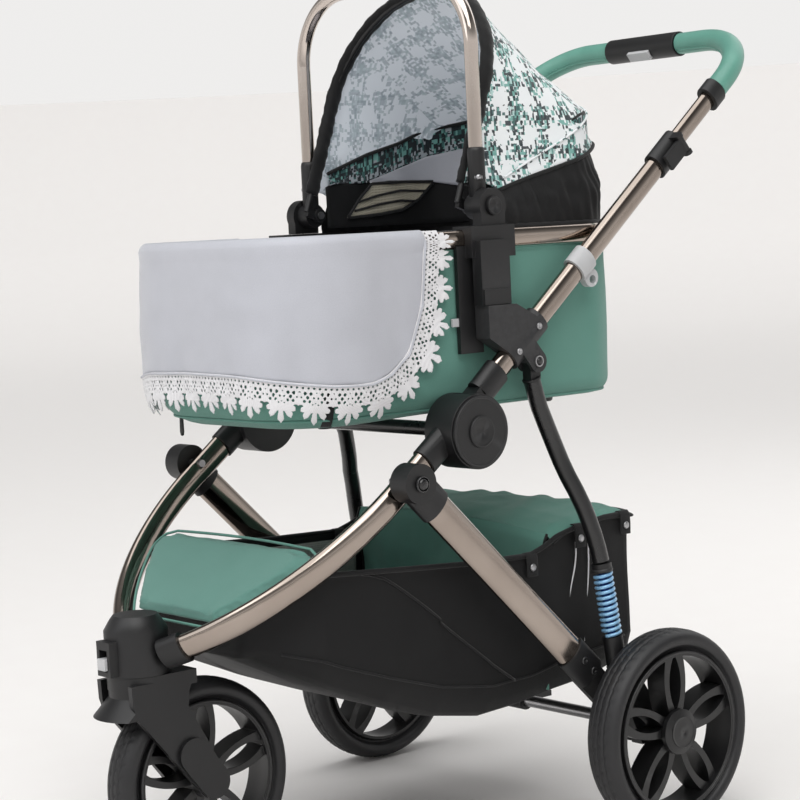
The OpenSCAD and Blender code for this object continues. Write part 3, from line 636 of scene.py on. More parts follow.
PIVOT = pos("canopy_fold")
FOLD = pos("frame_fold")
LEG = pos("leg_swing")
REAR = pos("rear_wheel_left_spin")
FRONT = pos("front_wheel_spin")
RAIL_LO, RAIL_HI = box_mm("bassinet_rail")
BODY_LO, BODY_HI = box_mm("bassinet_body")
HALF_X = BODY_HI[0]
FRONT_Y, BACK_Y = BODY_LO[1], BODY_HI[1]
FLOOR_Z = BODY_LO[2]
RAIL_Z = (RAIL_LO[2] + RAIL_HI[2]) / 2
FRONT_R, BACK_R = 120.0, 70.0       # corner radii of the bassinet's plan
TUBE_X = mid("upper_tube_left")[0]
CORNER = np.array([-119.0, 531.6])  # where the frame's tubes meet, [y, z]
UPPER_LEAN, LOWER_LEAN = math.radians(50.7), math.radians(53)
UP_DIR = np.array([math.sin(UPPER_LEAN), math.cos(UPPER_LEAN)])
DOWN_DIR = np.array([-math.sin(LOWER_LEAN), -math.cos(LOWER_LEAN)])


def on_upper(x, y, z):
    """A point measured along the upper tubes: z up the tube, y to its rear and below."""
    return np.array([x, CORNER[0] + z * UP_DIR[0] + y * UP_DIR[1],
                     CORNER[1] + z * UP_DIR[1] - y * UP_DIR[0]])


def on_lower(x, y, z):
    """A point measured down the lower tubes: y to the front and above."""
    return np.array([x, CORNER[0] + z * DOWN_DIR[0] + y * DOWN_DIR[1],
                     CORNER[1] + z * DOWN_DIR[1] - y * DOWN_DIR[0]])


# Plan outline of the bassinet, measured from the front's middle
A = HALF_X - FRONT_R
SEG = [A, FRONT_R * math.pi / 2, BACK_Y - BACK_R - FRONT_Y - FRONT_R, BACK_R * math.pi / 2,
       HALF_X - BACK_R]
ENDS = np.cumsum(SEG)
HALF_ROUND = ENDS[-1]


def outline(s, out=0.0):
    """Points [x, y] at arc lengths s (minus on the -X side), out mm outside the wall."""
    s = np.asarray(s, float)
    t, sign = abs(s), np.where(s < 0, -1, 1)
    x, y = np.zeros(s.shape), np.zeros(s.shape)
    a = t <= ENDS[0]
    x[a], y[a] = t[a], FRONT_Y - (out[a] if np.ndim(out) else out)
    out = np.broadcast_to(out, s.shape)
    b = (t > ENDS[0]) & (t <= ENDS[1])
    th = (t[b] - ENDS[0]) / FRONT_R
    x[b] = A + (FRONT_R + out[b]) * np.sin(th)
    y[b] = FRONT_Y + FRONT_R - (FRONT_R + out[b]) * np.cos(th)
    c = (t > ENDS[1]) & (t <= ENDS[2])
    x[c], y[c] = HALF_X + out[c], FRONT_Y + FRONT_R + t[c] - ENDS[1]
    d = (t > ENDS[2]) & (t <= ENDS[3])
    th = (t[d] - ENDS[2]) / BACK_R
    x[d] = HALF_X - BACK_R + (BACK_R + out[d]) * np.cos(th)
    y[d] = BACK_Y - BACK_R + (BACK_R + out[d]) * np.sin(th)
    e = t > ENDS[3]
    x[e], y[e] = HALF_X - BACK_R - (t[e] - ENDS[3]), BACK_Y + out[e]
    return x * sign, y


def ring_points(s, out, z):
    s = np.asarray(s, float)
    x, y = outline(s, np.broadcast_to(out, s.shape))
    return np.stack([x, y, np.broadcast_to(z, s.shape)], -1)


ROUND = np.linspace(-HALF_ROUND, HALF_ROUND, 361)[:-1]

# ---------------------------------------------------------------- bassinet


def belly(s):
    """Radius of the rounded bottom edge and how far it sags, along the outline."""
    ahead = 1 - smoothstep(abs(np.asarray(s, float)), 250, 400)
    return 24 + 38 * ahead, 8 * ahead


def wall_inset(s, z):
    """How far the rounded bottom draws the wall in at a height."""
    r, sag = belly(s)
    up = np.clip((np.asarray(z, float) - (FLOOR_Z - sag)) / r, 0, 1)
    return -r * (1 - np.sqrt(1 - (1 - up) ** 2))


def bassinet():
    z0, z1 = FLOOR_Z, RAIL_Z - 8
    r, sag = belly(ROUND)
    rows = [(-r - 6, z0 - sag)]
    rows += [(-r * (1 - math.sin(a)), z0 - sag + r * (1 - math.cos(a)))
             for a in np.radians(np.linspace(0, 90, 10))]
    straight = np.linspace(0.04, 1, 14)
    rows += [(0 * r + 1.6 * math.sin(math.pi * f), z0 - sag + r + f * (z1 - z0 + sag - r))
             for f in straight]
    rows += [(-3 + 0 * r, z1 + 3 + 0 * r), (-7.5 + 0 * r, z1 + 1 + 0 * r)]
    rows += [(-10.5 + 0 * r, z1 + 0 * r - 8 - f * (z1 - 16 - z0 - r)) for f in
             np.linspace(0, 1, 8)]
    rows += [(-12 - (r - 10) * (1 - math.cos(a)), z0 + 8 + r - (r - 6) * math.sin(a))
             for a in np.radians(np.linspace(15, 90, 6))]
    grid_rows, index = [], []
    for k, (out, z) in enumerate(rows):
        p = ring_points(ROUND, out, z)
        soft = 0
        if 6 <= k <= 24:
            wave = fbm(p * [1, 1, 0.35], 34) * 1.1 + fbm(p, 90, 7.3) * 1.8
            soft = smoothstep(k, 5, 10) * (1 - smoothstep(k, 22, 25))
            p = ring_points(ROUND, out + (wave - 0.6) * soft, z)
        grid_rows.append(p)
        index += [0 if k < 26 else 1] * len(ROUND)
    pts = np.array(grid_rows)
    ob = grid("bassinet_shell", pts, ["teal", "lining"], wrap=(False, True),
              index=index[:(len(rows) - 1) * len(ROUND)])
    cap_rows(ob, len(ROUND), (0, len(rows) - 1), (0, 1), smooth=True)
    done(ob, "bassinet", "green_cloth", "bassinet_body")
    # bound seams: round the bottom and under the rail
    turn = math.radians(38)
    low_path = ring_points(ROUND, -r * (1 - math.sin(turn)) + 0.6,
                           z0 - sag + r * (1 - math.cos(turn)) - 0.8)
    low = tube("bassinet_bottom_piping", low_path, 1.7, "teal", 8, closed=True)
    done(low, "bassinet", "green_cloth")
    high = tube("bassinet_top_binding", ring_points(ROUND, 0.2, z1 - 1), 0, "teal", 10,
                closed=True, flat=(4.0, 1.3))
    done(high, "bassinet", "green_cloth")
    done(stitches("bassinet_stitching", ring_points(ROUND, 1.6, z1 - 9), 5.5, 3.2, 0.45, "teal",
                  closed=True), "bassinet", "green_cloth")


def stitches(name, path, pitch, length, r, mat, closed=False):
    """A row of short raised threads along a path."""
    p = np.asarray(path, float)
    if closed:
        p = np.vstack([p, p[:1]])
    d = run(p)
    count = int(d[-1] // pitch)
    verts, faces = [], []
    thin = np.array([0.35, 1, 0.35]) * r
    for k in range(count):
        a = k * pitch
        q = np.stack([np.interp(a + length * f, d, p[:, c]) for c in range(3)
                      for f in (0, 0.5, 1)]).reshape(3, 3).T
        ring = tube_points(q, r, 5, flat=(thin, thin))
        base = len(verts)
        verts += list(ring.reshape(-1, 3) * MM)
        for i in range(2):
            for j in range(5):
                faces.append((base + i * 5 + j, base + i * 5 + (j + 1) % 5,
                              base + (i + 1) * 5 + (j + 1) % 5, base + (i + 1) * 5 + j))
        faces += [tuple(base + j for j in range(4, -1, -1)),
                  tuple(base + 10 + j for j in range(5))]
    return new_mesh(name, verts, faces, mat)


bassinet()


PRESSURE, STEPS = 4.0, 20


def swell(ob, voxel, cap, mat):
    """Closed padded form: remeshed, then blown up a little by the cloth solver."""
    bpy.context.view_layer.objects.active = ob
    rem = ob.modifiers.new("remesh", "REMESH")
    rem.mode, rem.voxel_size = "VOXEL", voxel * MM
    apply_modifiers(ob)
    rest = points(ob)
    cl = ob.modifiers.new("cloth", "CLOTH")
    cl.settings.use_pressure = True
    cl.settings.uniform_pressure_force = PRESSURE
    cl.settings.effector_weights.gravity = 0
    cl.settings.quality = 4
    cl.collision_settings.use_collision = False
    SCENE.frame_start, SCENE.frame_end = 1, STEPS
    cl.point_cache.frame_start, cl.point_cache.frame_end = 1, STEPS
    for f in range(1, STEPS + 1):
        SCENE.frame_set(f)
    apply_modifiers(ob)
    move = points(ob) - rest
    size = np.linalg.norm(move, axis=1)
    size[size < 1e-9] = 1e-9
    move *= (np.minimum(size, cap * MM) / size)[:, None]
    SCENE.frame_set(1)
    move_points(ob, rest + move)
    ob.data.update()
    ob.data.materials.clear()
    ob.data.materials.append(MAT[mat])
    shade_smooth(ob)
    return ob


def apply_modifiers(ob):
    dg = bpy.context.evaluated_depsgraph_get()
    me = bpy.data.meshes.new_from_object(ob.evaluated_get(dg))
    old = ob.data
    ob.modifiers.clear()
    ob.data = me
    bpy.data.meshes.remove(old)


def loops_solid(name, rings, mat):
    """Closed solid through a stack of closed rings."""
    ob = grid(name, rings, mat, wrap=(False, True))
    return cap_rows(ob, np.asarray(rings).shape[1], (0, len(rings) - 1))


def bassinet_cushion():
    lo, hi = box_mm("bassinet_pad")
    s = ROUND[::2]
    rings = [ring_points(s, out, z) for out, z in (
        (-34, lo[2] + 1), (-22, lo[2] + 1.5), (-18.5, lo[2] + 7), (-18, hi[2] - 9),
        (-21, hi[2] - 3.5), (-34, hi[2] - 2))]
    ob = loops_solid("bassinet_cushion", np.array(rings), "pad")
    ob = swell(ob, 6, 7, "pad")
    co = points(ob) / MM
    top = smoothstep(co[:, 2], hi[2] - 9, hi[2] - 3)
    for y in np.arange(FRONT_Y + 70, BACK_Y - 30, 62):
        co[:, 2] -= 4.5 * top * np.exp(-((co[:, 1] - y) / 5.5) ** 2)
    co[:, 2] = np.clip(co[:, 2], lo[2] + 0.2, hi[2] + 3)
    move_points(ob, co * MM)
    subdivide(ob)
    done(ob, "bassinet", "pad", "bassinet_pad")


bassinet_cushion()


PANEL_TOP, PANEL_END = 203.0, 349.0     # along the lower tubes
NOSE_BEND, NOSE_START = 340.0, 100      # the bend of the lower tubes towards the nose
PANEL_ROUND = 34                        # radius of the panel's upper corners


def footrest():
    lo, hi = PANEL_TOP, PANEL_END
    bend, reach = NOSE_BEND, NOSE_BEND - 10.5 - 6.0
    z = np.linspace(lo + 5, hi - 5, 22)

    def half(zz):
        d = max(0.0, zz - NOSE_START)
        return (TUBE_X - bend) + math.sqrt(max(1.0, reach * reach - d * d))

    def inner(v):
        """Half width of the panel, its upper corners rounded."""
        d = max(0.0, PANEL_ROUND - (v - z[0]))
        return half(v) - PANEL_ROUND + math.sqrt(PANEL_ROUND ** 2 - d * d)
    right = [(inner(v), v - 5 * math.exp(-((v - z[0]) / 14) ** 2)) for v in z]
    top = [(x, z[0] - 5 - 4 * math.cos(x / right[0][0] * math.pi / 2))
           for x in np.linspace(-right[0][0], right[0][0], 14)[1:-1]]
    loop = np.array(right + [(-x, v) for x, v in right[::-1]] + top)
    c = loop.mean(0)
    rings = []
    for inset, y in ((14, -3.2), (4, -2.6), (0, 0), (4, 2.6), (14, 3.2)):
        d = loop - c
        q = c + d * (1 - inset / np.linalg.norm(d, axis=1))[:, None]
        rings.append([on_lower(a, y, b) for a, b in q])
    ob = loops_solid("footrest_panel", np.array(rings), "teal_pad")
    ob = swell(ob, 4.5, 6, "teal_pad")
    co = points(ob) / MM
    rel_y = (co[:, 1] - CORNER[0]) * DOWN_DIR[1] - (co[:, 2] - CORNER[1]) * DOWN_DIR[0]
    rel_z = (co[:, 1] - CORNER[0]) * DOWN_DIR[0] + (co[:, 2] - CORNER[1]) * DOWN_DIR[1]
    edge = np.array([half(min(hi, max(lo, v))) for v in rel_z]) - abs(co[:, 0])
    edge = np.minimum(edge, np.minimum(rel_z - lo - 3, hi - 3 - rel_z))
    dent = 1.5 * np.exp(-((edge - 9) / 2.4) ** 2)
    wave = fbm(co, 45, 3.1) * 0.9
    shift = (-np.sign(rel_y) * dent + wave * smoothstep(edge, 10, 26))
    co[:, 1] += shift * DOWN_DIR[1]
    co[:, 2] -= shift * DOWN_DIR[0]
    move_points(ob, co * MM)
    subdivide(ob)
    done(ob, "front_frame", "green_cloth", "footrest")
    # edge binding
    path = np.array([on_lower(a, 0, b) for a, b in loop])
    bind = tube("footrest_binding", path, 1.8, "teal", 8, closed=True)
    done(bind, "front_frame", "green_cloth")


footrest()

# ---------------------------------------------------------------- apron and lace


APRON_HALF = 337                    # the cloth's half length along the outline


def apron_low(s):
    """Height of the apron's lower edge along the outline."""
    t = abs(np.asarray(s, float))
    return np.interp(t, [0, 90, 150, 200, 245, 275, 308, 320, 331, 337],
                     [622, 620, 611, 604, 603, 612, 634, 664, 692, 770])


def apron_top_path():
    """Cross-section of the cloth over the rail: (out, z) pairs from inside to outside."""
    pts = [(-14, RAIL_Z - 6), (-13.5, RAIL_Z + 4)]
    pts += [(-12.5 * math.cos(a), RAIL_Z + 14.0 * math.sin(a))
            for a in np.linspace(0.45, math.pi - 0.25, 9)]
    return [(o if o < 0 else min(o, 12.5) * 0.85, z) for o, z in pts] + [(9.6, RAIL_Z - 8)]


def drape(s, z):
    """How far the apron stands off the bassinet's wall."""
    t = abs(s)
    f = np.clip((RAIL_Z - z) / 160, 0, 1)
    ahead = 1 - smoothstep(t, 190, 300)
    base = 8.8 + (5.5 * ahead - 3.4 * (1 - ahead)) * np.sin(f * 2.2)
    fold = (np.sin(s / 17.0 + 1.3 * np.sin(s / 61)) * 1.3
            + np.sin(s / 7.3 + 2.0) * 0.35) * smoothstep(f, 0.25, 1)
    return base + fold + 0.55 * wall_inset(s, z)


def apron():
    s = np.linspace(-APRON_HALF, APRON_HALF, APRON_HALF + 1)
    rows = [ring_points(s, out, z) for out, z in apron_top_path()]
    steps = 26
    low = apron_low(s)
    for k in range(1, steps + 1):
        f = k / steps
        z = (RAIL_Z - 8) * (1 - f) + np.minimum(low, RAIL_Z - 10) * f
        p = ring_points(s, drape(s, z), z)
        wob = fbm(p, 38, 1.7) * 1.3 * smoothstep(np.full(s.shape, f), 0.05, 0.5)
        rows.append(ring_points(s, drape(s, z) + wob, z))
    ob = grid("apron_cloth", np.array(rows), ["grey"], flip=True)
    solidify(ob, 1.5, 0.0)
    done(ob, "bassinet", "grey_cloth", "apron")
    # bound hem
    edge = [np.array([s[i], low[i]]) for i in range(len(s))]
    top = [np.array([-APRON_HALF, z]) for z in np.linspace(RAIL_Z - 10, low[0], 10)[:-1]]
    path = np.array(top + edge + [v * [-1, 1] for v in top[::-1]])
    stand = drape(path[:, 0], path[:, 1]) + 1.0
    hem = tube("apron_hem", ring_points(path[:, 0], stand, path[:, 1]), 0, "grey", 8,
               flat=(3.2, 1.3))
    done(hem, "bassinet", "grey_cloth")
    trim = lace(path)


def lace(path):
    """Crochet lace sewn outside the hem: a band of eyelets, a net and a row of fans."""
    rise = np.stack([np.full(3, path[0, 0]), RAIL_Z + np.array([70, 50, 30])], 1)
    path = np.vstack([rise, path, rise[::-1] * [-1, 1]])
    d = run(path)
    fine = np.arange(0, d[-1], 1.0)
    line = follow(fine, d, path)
    kernel = np.hanning(61)
    kernel /= kernel.sum()
    line = np.stack([np.convolve(line[:, c], kernel, "valid") for c in range(2)], 1)
    tan = unit_rows(np.gradient(line, axis=0))
    nor = np.stack([tan[:, 1], -tan[:, 0]], 1)          # outwards from the cloth
    keep = np.nonzero(line[:, 1] < RAIL_Z + 14)[0]
    line, nor = line[keep[0]:keep[-1]], nor[keep[0]:keep[-1]]
    length = len(line) - 1
    unit = length / round(length / 37.0)
    wide, step = 47.0, 0.98
    na, nb = int(length / step) + 1, int((wide + 2) / step) + 1
    aa, bb = np.meshgrid(np.linspace(0, length, na), np.linspace(-2, wide, nb), indexing="ij")
    u = (aa % unit) - unit / 2

    def thread(px, py, qx, qy, r, r2=None):
        """Distance to a straight thread whose radius goes from r to r2."""
        vx, vy = qx - px, qy - py
        k = np.clip(((u - px) * vx + (bb - py) * vy) / (vx * vx + vy * vy), 0, 1)
        return np.hypot(u - px - k * vx, bb - py - k * vy) - (r + ((r2 or r) - r) * k)

    eyelets = np.hypot((aa % (unit / 6)) - unit / 12, bb - 3.4) - 1.35
    f = np.maximum(bb - 6.6, -eyelets)                   # heading band
    cell = unit / 6
    for k in range(-5, 6):                               # slanting net
        f = np.minimum(f, thread(k * cell, 5, (k + 2) * cell, 24, 0.95))
        f = np.minimum(f, thread(k * cell, 5, (k - 2) * cell, 24, 0.95))
    for x in (-unit / 2, 0, unit / 2):                   # rosettes in the net
        f = np.minimum(f, abs(np.hypot(u - x, bb - 14.5) - 4.4) - 1.15)
    f = np.minimum(f, abs(bb - 23.5 - 1.6 * np.cos(u / unit * 2 * math.pi)) - 1.5)
    for ang, reach in ((-62, 14), (-32, 17.5), (0, 21.5), (32, 17.5), (62, 14)):
        a = math.radians(ang)                            # fan of five fingers
        f = np.minimum(f, thread(1.5 * math.sin(a), 25, reach * math.sin(a),
                                 24 + (reach - 3.5) * math.cos(a), 1.5, 3.3))
        f = np.minimum(f, thread(reach * math.sin(a), 24 + (reach - 2) * math.cos(a),
                                 (reach + 2.6) * math.sin(a), 24 + (reach + 1) * math.cos(a),
                                 2.2, 0.8))
    f = np.minimum(f, abs(np.hypot(u, bb - 24) - 6.0) - 1.0)
    # keep the cells inside the threads and pull their rim to the threads' edge
    ga, gb = np.gradient(f, step, step)
    g2 = np.maximum(ga * ga + gb * gb, 0.15)
    rim = (abs(f) < 0.9) & (f > -0.2)
    pa = np.clip(aa + np.clip(np.where(rim, -f * ga / g2, 0), -0.5, 0.5), 0, length)
    pb = bb + np.clip(np.where(rim, -f * gb / g2, 0), -0.5, 0.5)
    inside = (f[:-1, :-1] + f[1:, :-1] + f[:-1, 1:] + f[1:, 1:]) / 4 < 0.12
    ref = np.arange(len(line))
    at, no = follow(pa, ref, line), follow(pa, ref, nor)
    q = at + no * pb[..., None]
    s, z = q[..., 0], q[..., 1]
    hang = smoothstep(pb, 8, wide)
    wave = (np.sin(pa * 2 * math.pi / unit) * 1.6 + np.sin(pa / 31) * 1.8) * hang + 1.8 * hang
    over = np.clip((z - RAIL_Z) / 13, 0, 1)              # wraps over the rail
    stand = drape(s, np.minimum(z, RAIL_Z - 8)) + 1.4 + wave
    stand = stand - 9 * (1 - np.sqrt(1 - over ** 2))
    p = ring_points(s.ravel(), stand.ravel(), z.ravel()) * MM
    idx = np.arange(na * nb).reshape(na, nb)
    faces = np.stack([idx[:-1, :-1], idx[1:, :-1], idx[1:, 1:], idx[:-1, 1:]], -1)[inside]
    used, faces = np.unique(faces, return_inverse=True)
    ob = new_mesh("apron_lace", p[used], faces.reshape(-1, 4), "lace")
    solidify(ob, 1.3, 0.0)
    done(ob, "bassinet", "grey_cloth")
    return ob


apron()

# ---------------------------------------------------------------- canopy

HOOP_HI = list(box_mm("canopy_hoop"))[1]
HOOP_LEAN, BACK_LEAN, MID_LEAN = 19.5, 73.0, 64.0      # degrees back from upright
MID_F = (MID_LEAN - HOOP_LEAN) / (BACK_LEAN - HOOP_LEAN)
APEX_FRONT, APEX_MID, APEX_BACK = 303.5, 288, 258      # height of the top above the pivot
AHEAD = 20.7                       # the front hoop stands this far before the pivot
HOOP_X = HOOP_HI[0] - 4


def canopy(f, t, inset=0.0, out=0.0):
    """Point of the canopy: f from the front hoop (0) to the rear edge (1), t across."""
    f, t = np.broadcast_arrays(np.asarray(f, float), np.asarray(t, float))
    lean = HOOP_LEAN + (BACK_LEAN - HOOP_LEAN) * f
    half = HOOP_X + 5.05 + 11.45 * f ** 1.6 - inset
    apex = np.where(f < MID_F, APEX_FRONT - (APEX_FRONT - APEX_MID) * f / MID_F,
                    APEX_MID - (APEX_MID - APEX_BACK) * (f - MID_F) / (1 - MID_F)) - inset
    r = np.maximum(half - 8 - 80 * f ** 2, 20)
    low = 24 + 10 * f
    # cloth stretched between ribs runs straight, so it dips below the round
    span = np.radians(np.where(f < MID_F, MID_LEAN - HOOP_LEAN, BACK_LEAN - MID_LEAN))
    part = np.where(f < MID_F, f / MID_F, (f - MID_F) / (1 - MID_F))
    dip = np.cos(span / 2) / np.cos(span * (part - 0.5))
    dip = 1 - (1 - dip) * 1.15
    u = np.minimum(t, 1 - t)
    a = np.radians(90 * np.clip((u - 0.2) / 0.24, 0, 1))
    k = np.clip((u - 0.44) / 0.06, 0, 1)
    x = np.where(u < 0.2, half, np.where(u < 0.44, half - r + r * np.cos(a),
                                         (half - r) * (1 - k)))
    h = np.where(u < 0.2, low + (apex - r - low) * u / 0.2,
                 np.where(u < 0.44, apex - r + r * np.sin(a), apex))
    h = h * dip + out
    ahead = AHEAD * (1 - f)
    lr = np.radians(lean)
    lift = 9.0 * f * (1 - smoothstep(h, 40, 230))
    return np.stack([np.where(t < 0.5, x, -x),
                     PIVOT[1] + h * np.sin(lr) - ahead * np.cos(lr),
                     PIVOT[2] + h * np.cos(lr) + ahead * np.sin(lr) + lift], -1)


LR = math.radians(HOOP_LEAN)
BACKWARDS = np.array([0, math.cos(LR), -math.sin(LR)])      # square to the hoop's plane
HOOP_AT = np.array([0, PIVOT[1], PIVOT[2]]) - AHEAD * BACKWARDS


def bends(ob, slot, *nodes):
    """The piece's placement is baked into its mesh, and the CAD nodes given are hidden."""
    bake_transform(ob)
    if nodes:
        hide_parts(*nodes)
    return ob


def canopy_print(ob, p, ts):
    """Lay the print flat on the two side panels and along the top panel."""
    n = p.shape[1]
    across = np.concatenate([np.zeros((len(p), 1)),
                             np.cumsum(np.linalg.norm(np.diff(p, axis=1), axis=2), 1)], 1)
    across -= across[:, n // 2, None]
    along = run(p[:, n // 2])
    me = ob.data
    start = np.zeros(len(me.polygons), int)
    me.polygons.foreach_get("loop_start", start)
    verts = np.zeros(len(me.loops), int)
    me.loops.foreach_get("vertex_index", verts)
    row, col = verts // n, verts % n
    middle = np.repeat(np.abs(ts[col].reshape(-1, 4).mean(1) - 0.5) < 0.2, 4)
    side = p[row, col][:, 1:]
    top = np.stack([across[row, col], along[row]], 1)
    uv = np.where(middle[:, None], top, side) * MM
    me.uv_layers["cloth"].data.foreach_set("uv", uv.astype(np.float32).ravel())


def canopy_pieces():
    fs = np.concatenate([np.linspace(0, 0.83, 34), np.linspace(0.86, 1, 7)])
    ts = np.linspace(0, 1, 131)
    ff, tt = np.meshgrid(fs, ts, indexing="ij")
    p = canopy(ff, tt)
    away = unit_rows(p - np.array([0, 60, 850.0]))
    tie = np.sin(np.clip(ff / 0.83, 0, 1) * math.pi)
    wrinkle = fbm(p, 60, 2.2) * 2.6 + fbm(p, 24, 5.1) * 0.8
    radial = np.sin(tt * 2 * math.pi * 11 + fbm(p, 80) * 2) * 0.7
    p = p + away * ((wrinkle + radial) * tie)[..., None]
    # the rear edge curls up behind the last rib
    curl = smoothstep(ff, 0.93, 1) * smoothstep(np.minimum(tt, 1 - tt), 0.22, 0.34)
    p[..., 1] += curl * 7
    p[..., 2] += curl * 6
    ob = grid("canopy_cloth", p, ["print", "print_back"], flip=True)
    canopy_print(ob, p, ts)
    solidify(ob, 0.9, -1.0, 1)
    bends(ob, "printed_cloth", "canopy_fabric")
    rear = p[-1]
    pipe = tube("canopy_rear_piping", rear + [0, 1.0, -0.5], 2.6, "binding", 8)
    done(pipe, "bassinet", "black_cloth")
    # front sleeve round the hoop, slightly gathered
    tc = np.linspace(0.0, 1, 150)
    c = canopy(np.zeros(150), tc, inset=5.05)
    rad = np.array([0, math.sin(LR), math.cos(LR)])
    out_dir = c - (HOOP_AT + rad * 143)
    out_dir -= BACKWARDS * out_dir.dot(BACKWARDS)[:, None]
    side = abs(c[:, 0]) > HOOP_X - 0.5
    out_dir[side] = np.stack([np.sign(c[side, 0]), 0 * c[side, 0], 0 * c[side, 0]], 1)
    out_dir = unit_rows(out_dir)
    slim = 4.6 + 2.3 * smoothstep(c[:, 2], 878, 896)
    sleeve = []
    for ang in around(22):
        gather = 1 + 0.06 * np.sin(tc * 260 + 2 * ang) + 0.05 * np.sin(tc * 97)
        sleeve.append(c + (out_dir * (slim * math.cos(ang))[:, None]
                           + BACKWARDS * (10.5 * math.sin(ang) + 1.5)) * gather[:, None])
    band = grid("canopy_front_sleeve", np.array(sleeve).transpose(1, 0, 2), "binding",
                wrap=(False, True))
    done(fill_ends(band), "canopy", "black_cloth")
    # outer topstitching over the middle rib
    q = canopy(np.full(200, 0.83), np.linspace(0.03, 0.97, 200), inset=-0.9)
    rib = tube("canopy_mid_piping", q, 1.6, "print", 8)
    bends(rib, "printed_cloth")
    inner_panels()


def wall_point(q, z, depth):
    """A point of the canopy's inner wall: q runs back along the side, then across the rear."""
    side, r, rear = 168.0, 64.0, 234.0 - depth
    half = np.interp(q, [0, side], [157.5, 165.0]) - depth
    if q < side:
        return [half, q, z]
    a = min((q - side) / r, math.pi / 2)
    x, y = half - r + r * math.cos(a), side + (rear - side) * math.sin(a)
    return [max(x - max(0.0, q - side - r * math.pi / 2), 0.0), y, z]


def wall_strip(name, low, high, depth, mat):
    """A cloth panel on the inner wall between two edge lines of [q, z] points."""
    low, high = np.array(low, float), np.array(high, float)
    qs = np.linspace(low[0, 0], low[-1, 0], 90)
    rows = []
    for k in np.linspace(0, 1, 12):
        z = (np.interp(qs, low[:, 0], low[:, 1]) * (1 - k)
             + np.interp(qs, high[:, 0], high[:, 1]) * k)
        rows.append([wall_point(q, v, depth + 0.7 * math.sin(q / 9 + 3 * k)) for q, v in
                     zip(qs, z)])
    return mirrored(solid_apply(grid(name, np.array(rows), mat), 0.9))


def solid_apply(ob, thick):
    solidify(ob, thick, 0.0)
    apply_modifiers(ob)
    return ob


def inner_panels():
    seam = [(6, 864), (14, 867), (80, 889), (143, 904), (190, 921), (262, 930), (366, 936)]
    edge = [(10, 848), (19, 850), (79, 850), (144, 869), (195, 884), (262, 893), (366, 897)]
    for name, low, high, depth, mat, slot in (
            ("canopy_inner_base", [(4, 790), (366, 790)],
             [(4, 846), (19, 852), (79, 852), (144, 871), (195, 886), (366, 899)], 3.2,
             "black", "black_cloth"),
            ("canopy_inner_band", edge, [(10, 866)] + seam[2:], 4.4, "print_dark",
             "printed_cloth"),
            ("canopy_inner_flap", [(84, 850), (120, 852), (190, 850), (240, 841), (264, 852)],
             [(84, 853), (144, 870), (195, 885), (240, 892), (264, 894)], 6.0, "grey",
             "grey_cloth"),
            ("canopy_window", [(40, 803), (100, 807), (144, 812), (176, 826), (198, 846)],
             [(40, 806), (64, 830), (87, 848), (150, 849), (198, 848)], 5.2, "net",
             "black_cloth")):
        bends(wall_strip(name, low, high, depth, mat), slot)
    cords = []
    for k, (line, r) in enumerate((
            (seam, 2.5), ([(40, 804), (64, 830), (87, 849), (150, 850), (200, 849)], 2.0),
            ([(40, 803), (100, 806), (144, 811), (176, 825), (200, 847)], 2.0),
            ([(60, 824), (96, 832), (140, 838), (188, 836)], 1.7),
            ([(52, 812), (100, 820), (140, 824), (172, 822)], 1.7))):
        a = np.array(line, float)
        qs = np.linspace(a[0, 0], a[-1, 0], 60)
        path = np.array([wall_point(q, np.interp(q, a[:, 0], a[:, 1]), 6.6) for q in qs])
        cords.append(tube(f"c{k}", path, r, "binding", 8))
    bends(mirrored(join("canopy_inner_seams", cords)), "black_cloth")


def skirt():
    """Gathered cloth from the canopy's rear edge down to the rail."""
    n = 420
    t = np.linspace(0.0, 1, n)
    top = canopy(np.ones(n), t, inset=1.0)
    # matching points on the rail's outline, from one pivot round the back to the other
    s_start = ENDS[1] + (16 - (FRONT_Y + FRONT_R))
    s = np.concatenate([np.linspace(s_start, HALF_ROUND, n // 2),
                        np.linspace(-HALF_ROUND, -s_start, n - n // 2)])
    low = ring_points(s, -4, RAIL_Z + 13)
    rows = []
    for f in np.linspace(0, 1, 24):
        d = low * f + top * (1 - f)
        bulge = math.sin(math.pi * f)
        away = unit_rows(np.stack([d[:, 0], d[:, 1] - 60, 0 * d[:, 0]], 1))
        pleat = (np.sin(t * 2 * math.pi * 41 + 5 * fbm(d, 70, 3.0)) * 0.9
                 + fbm(d * [1, 1, 0.4], 13, 4.0) * 2.6) * (0.25 + 0.75 * bulge)
        slump = fbm(d * [1, 1, 1.6], 36, 6.0) * 5.5 * bulge
        rows.append(d + away * (pleat + bulge * 6 + slump)[:, None])
    p = np.array(rows)
    ob = grid("canopy_skirt_cloth", p, "black")
    solidify(ob, 1.0, 0.0)
    done(ob, "bassinet", "black_cloth", "canopy_skirt")
    hem = tube("canopy_skirt_hem", ring_points(s, -3.5, RAIL_Z + 12), 0, "binding", 8,
               flat=(4.5, 1.6))
    done(hem, "bassinet", "black_cloth")


canopy_pieces()
skirt()

# ---------------------------------------------------------------- basket

PLAN_Y = [-368, -345, -289, -200, -60, 222]
PLAN_X = [93, 112, 166, 189, 195, 195]
RIM_Y = [-368, -352, -289, -200, -84, 25, 52, 74, 112, 160, 222]
RIM_Z = [307, 330, 380, 376, 368, 364, 372, 382, 390, 396, 397]
LOW_Y = [-345, -272, -208, -129, -46, 20, 87, 150, 222]
LOW_Z = [280, 238, 210, 180, 165, 168, 176, 181, 200]
LID_Y, LID_Z = [58, 74, 112, 160, 216], [385, 390, 400, 405, 402]


def basket_plan(y, inset=0.0):
    return np.interp(y, PLAN_Y, PLAN_X) - inset


